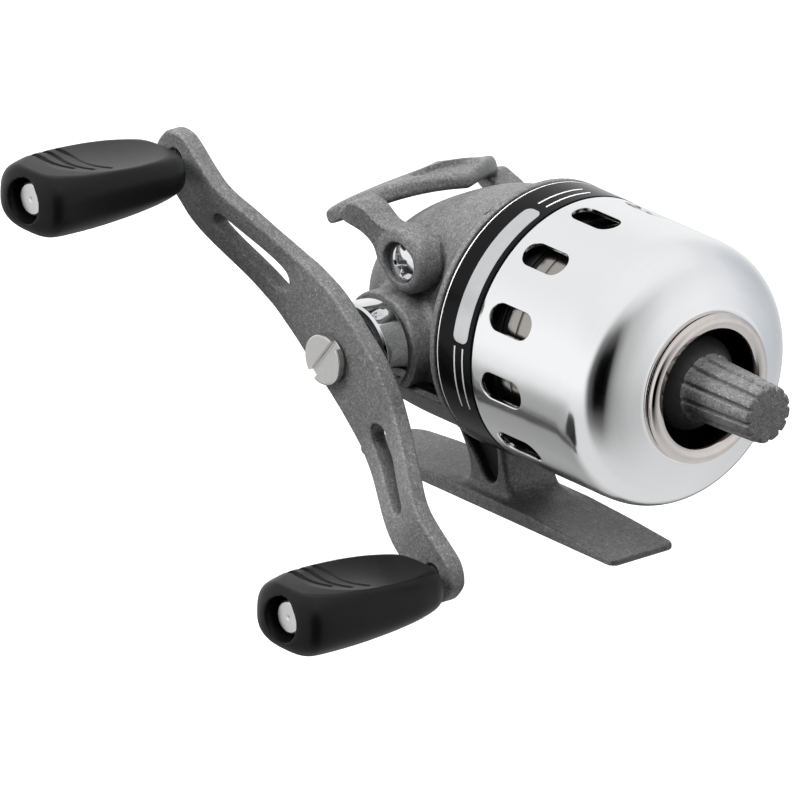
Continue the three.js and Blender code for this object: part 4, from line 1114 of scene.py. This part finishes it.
for name, side in (("lower", 1), ("upper", -1)):
    centre = (CRANK[0] + math.cos(ARM_ANGLE) * KNOB_REACH * side,
              CRANK[1] + math.sin(ARM_ANGLE) * KNOB_REACH * side)
    paddle = field_mesh(
        "paddle_knob_" + name, paddle_field, (-10.0, -71.8, -7.2), (10.0, -37.8, 6.2), 0.27,
        ["soft"], centre, **FINE)
    place(paddle, name + "_knob", "knob_" + name)
    pin = turned("rivet_pin_" + name, PIN, ["pin"], centre, rounding=0.2, segments=72,
                 closed=False)
    place(pin, "crank", "knob_pin_" + name)


# ------------------------------------------------------------------ lever screws
def lever_screw_field(side):
    """Domed screw with a cross recess; side is the sign of y it faces."""
    def field(x, y, z):
        out = y * side
        radius, ax, az = np.hypot(x, z), np.abs(x), np.abs(z)
        dome = np.hypot(radius, np.maximum(out - 10.0, 0)) - 8.45
        head = meet(meet(radius - 3.2, 17.55 - out), dome, edge=0.15)
        cross = join(meet(ax - 0.45, az - 1.75), meet(az - 0.45, ax - 1.75))
        cross = meet(cross, radius - 1.75 - 0.9 * (out - 18.3), 17.45 - out)
        head = cut(head, cross, edge=0.06)
        return join(head, meet(radius - 1.3, slab(out, 10.6, 17.8)))
    return field


for name, side in (("near", -1), ("far", 1)):
    low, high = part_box("lever_screw_" + name)
    screw = field_mesh(
        "cross_screw_" + name, lever_screw_field(side), (-3.6, low.y * 1000 - 0.4, -3.6),
        (3.6, high.y * 1000 + 0.4, 3.6), 0.12, ["chrome"], LEVER, turn=0.3, **FINE)
    place(screw, "lever", "lever_screw_" + name)

# ------------------------------------------------------------------ remaining CAD pieces
# part of the node's name, material; all others are steel
CAD_MATERIALS = {
    "line_brake_ring": "rubber_and_pocket_shade", "cage": "brass", "drive_gear": "gear",
    "oscillation_cam": "brass", "pinion_gear": "brass", "drag_washer_felt": "felt",
    "line_pack": "line",
}
for name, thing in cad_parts.items():
    if thing.hide_render:
        continue
    key = next((CAD_MATERIALS[part] for part in CAD_MATERIALS if part in name), "steel")
    thing.data.materials.clear()
    thing.data.materials.append(MATERIALS[key])
    thing.data.shade_smooth()
    thing.data.set_sharp_from_angle(angle=35 * DEGREE)
    bevel = thing.modifiers.new("edge", "BEVEL")
    bevel.width = 0.00008
    bevel.segments = 2
    bevel.limit_method = "ANGLE"
    bevel.angle_limit = 40 * DEGREE
    bevel.harden_normals = True

# ------------------------------------------------------------------ floor
FLOOR_Z, FLOOR_HALF = -0.0275, 9  # metres
floor_material, graph = new_material("pale_floor")
tint = graph.ramp(graph.noise(graph.coords(), scale=3.0, detail=2), [(0.3, 0.30), (0.7, 0.31)])
# the plain colour shows only if the tint is unlinked
graph.feed(graph.shader, {"Base Color": (0.93, 0.93, 0.93, 1), "Roughness": 0.8})
graph.feed(graph.shader, {"Base Color": tint})
glow = graph.add("Emission", {"Strength": 0.9})
both = graph.add("AddShader", {0: glow.outputs[0], 1: graph.shader.outputs[0]})
graph.feed(graph.output, {0: both.outputs[0]})
floor_mesh = bpy.data.meshes.new("floor")
floor_mesh.from_pydata(
    [(x * FLOOR_HALF, y * FLOOR_HALF, FLOOR_Z) for x, y in ((-1, -1), (1, -1), (1, 1), (-1, 1))],
    [], [(0, 1, 2, 3)])
floor_mesh.materials.append(floor_material)
floor = bpy.data.objects.new("floor", floor_mesh)
scene.collection.objects.link(floor)
floor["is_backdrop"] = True
floor.visible_diffuse = False
floor.visible_glossy = False

# ------------------------------------------------------------------ world
world = bpy.data.worlds.new("studio")
scene.world = world
sky = Graph(world, "World", "Background")
direction = sky.add("SeparateXYZ", {0: sky.add("TexCoord").outputs["Generated"]}).outputs
# the direction's z, y and x, moved from -1..1 to 0..1
sky_z, sky_y, sky_x = (
    sky.math("ADD", sky.math("MULTIPLY", direction[i], 0.5), 0.5) for i in (2, 1, 0))


def times(a, b):
    return sky.math("MULTIPLY", a, b)


def tinted(a, b):
    return sky.mix(1.0, a, b, "MULTIPLY")


height = sky.ramp(sky_z, [
    (0.0, 0.74), (0.25, 0.74), (0.35, 0.86), (0.43, 1.0), (0.60, 1.0), (0.72, 0.92),
    (0.80, 0.88), (1.0, 0.92)])
far_side = sky.ramp(sky_y, [
    (0.80, (1.0, 1.0, 1.0)), (0.92, (0.86, 0.87, 0.89)), (1.0, (0.55, 0.57, 0.60))])
tone = tinted(height, far_side)
# dark gap towards +X, seen as an arc in the shoulder of the cover
shift = times(sky.math("MAXIMUM", direction[2], 0.0), 0.12)
gap = sky.ramp(sky.math("SUBTRACT", sky_x, shift),
               [(0.585, 0.0), (0.70, 0.9), (0.79, 1.0)], "EASE")
gap_height = sky.ramp(sky_z, [
    (0.08, 0.15), (0.22, 0.80), (0.32, 1.0), (0.62, 1.0), (0.74, 0.86), (0.84, 0.36),
    (0.93, 0.14)])
gap_side = sky.ramp(sky_y, [
    (0.27, 1.0), (0.32, 0.80), (0.41, 0.53), (0.53, 0.35), (0.65, 0.12), (0.85, 0.05)])
dim = sky.math("SUBTRACT", 1.0, times(times(gap, gap_height), gap_side))
# dark patch low towards -X, with streaks across y
rear = sky.ramp(sky_x, [(0.20, 1.0), (0.36, 0.0)])
under = sky.ramp(sky_z, [(0.19, 1.0), (0.285, 0.92), (0.345, 0.0)])
streaks = sky.ramp(sky_y, [
    (0.15, 0.50), (0.28, 0.52), (0.37, 0.56), (0.44, 0.54), (0.53, 0.48), (0.62, 0.52),
    (0.70, 0.9), (0.80, 0.96)])
low_dim = sky.math("SUBTRACT", 1.0, times(times(rear, under), streaks))
seen = tinted(tinted(tone, dim), low_dim)
# diffuse rays meet a softer sky
soft = sky.ramp(sky_z, [(0.0, 0.02), (0.40, 0.035), (0.56, 0.10), (0.80, 0.36), (1.0, 0.60)])
is_diffuse = sky.add("LightPath").outputs["Is Diffuse Ray"]
sky.feed(sky.shader, {"Color": sky.mix(is_diffuse, seen, soft)})

# ------------------------------------------------------------------ camera
VIEW_DISTANCE, VIEW_WIDTH = 3000.0, 134.6  # width is measured at the target
TARGET = np.array([-15.98, -24.91, -11.76])
right = np.array([0.6567, 0.7535, 0.0292])
back = np.array([0.6938, -0.6190, 0.3681])  # from the target to the camera
right = right / np.linalg.norm(right)
back = back - right * (back @ right)
back = back / np.linalg.norm(back)
up = np.cross(back, right)
camera_data = bpy.data.cameras.new("camera")
camera_data.lens = camera_data.sensor_width * VIEW_DISTANCE / VIEW_WIDTH
camera_data.clip_start, camera_data.clip_end = 0.1, 40
camera = bpy.data.objects.new("camera", camera_data)
position = (TARGET + back * VIEW_DISTANCE + ORIGIN) / 1000
camera.matrix_world = Matrix(
    np.column_stack([right, up, back, position]).tolist() + [[0, 0, 0, 1]])
scene.collection.objects.link(camera)
scene.camera = camera


# ------------------------------------------------------------------ lights
def softbox(name, direction, distance, width, height, power):
    """Area light facing the target from a direction; metres and watts."""
    light = bpy.data.lights.new(name, "AREA")
    light.shape = "RECTANGLE"
    light.size, light.size_y = width, height
    light.energy = power
    box = bpy.data.objects.new(name, light)
    direction = Vector(direction).normalized()
    box.location = Vector(((TARGET + ORIGIN) / 1000).tolist()) + direction * distance
    box.rotation_mode = "QUATERNION"
    box.rotation_quaternion = direction.to_track_quat("Z", "Y")
    box.visible_glossy = False
    scene.collection.objects.link(box)


def from_camera(rightward, upward, backward):
    return (right * rightward + up * upward + back * backward).tolist()


softbox("overhead", (0.25, -0.10, 0.96), distance=0.7, width=0.4, height=0.4, power=5.6)
softbox("key_top_left", from_camera(-0.80, 0.60, 0.35), distance=0.8, width=0.35, height=0.3,
        power=7.2)
softbox("edge_right", from_camera(1.0, 0.25, -0.1), distance=0.9, width=0.25, height=0.6,
        power=1.0)

scene.view_settings.view_transform = "Standard"
scene.view_settings.look = "None"
scene.view_settings.exposure = 0.0
scene.view_settings.gamma = 1.0

low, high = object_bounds()
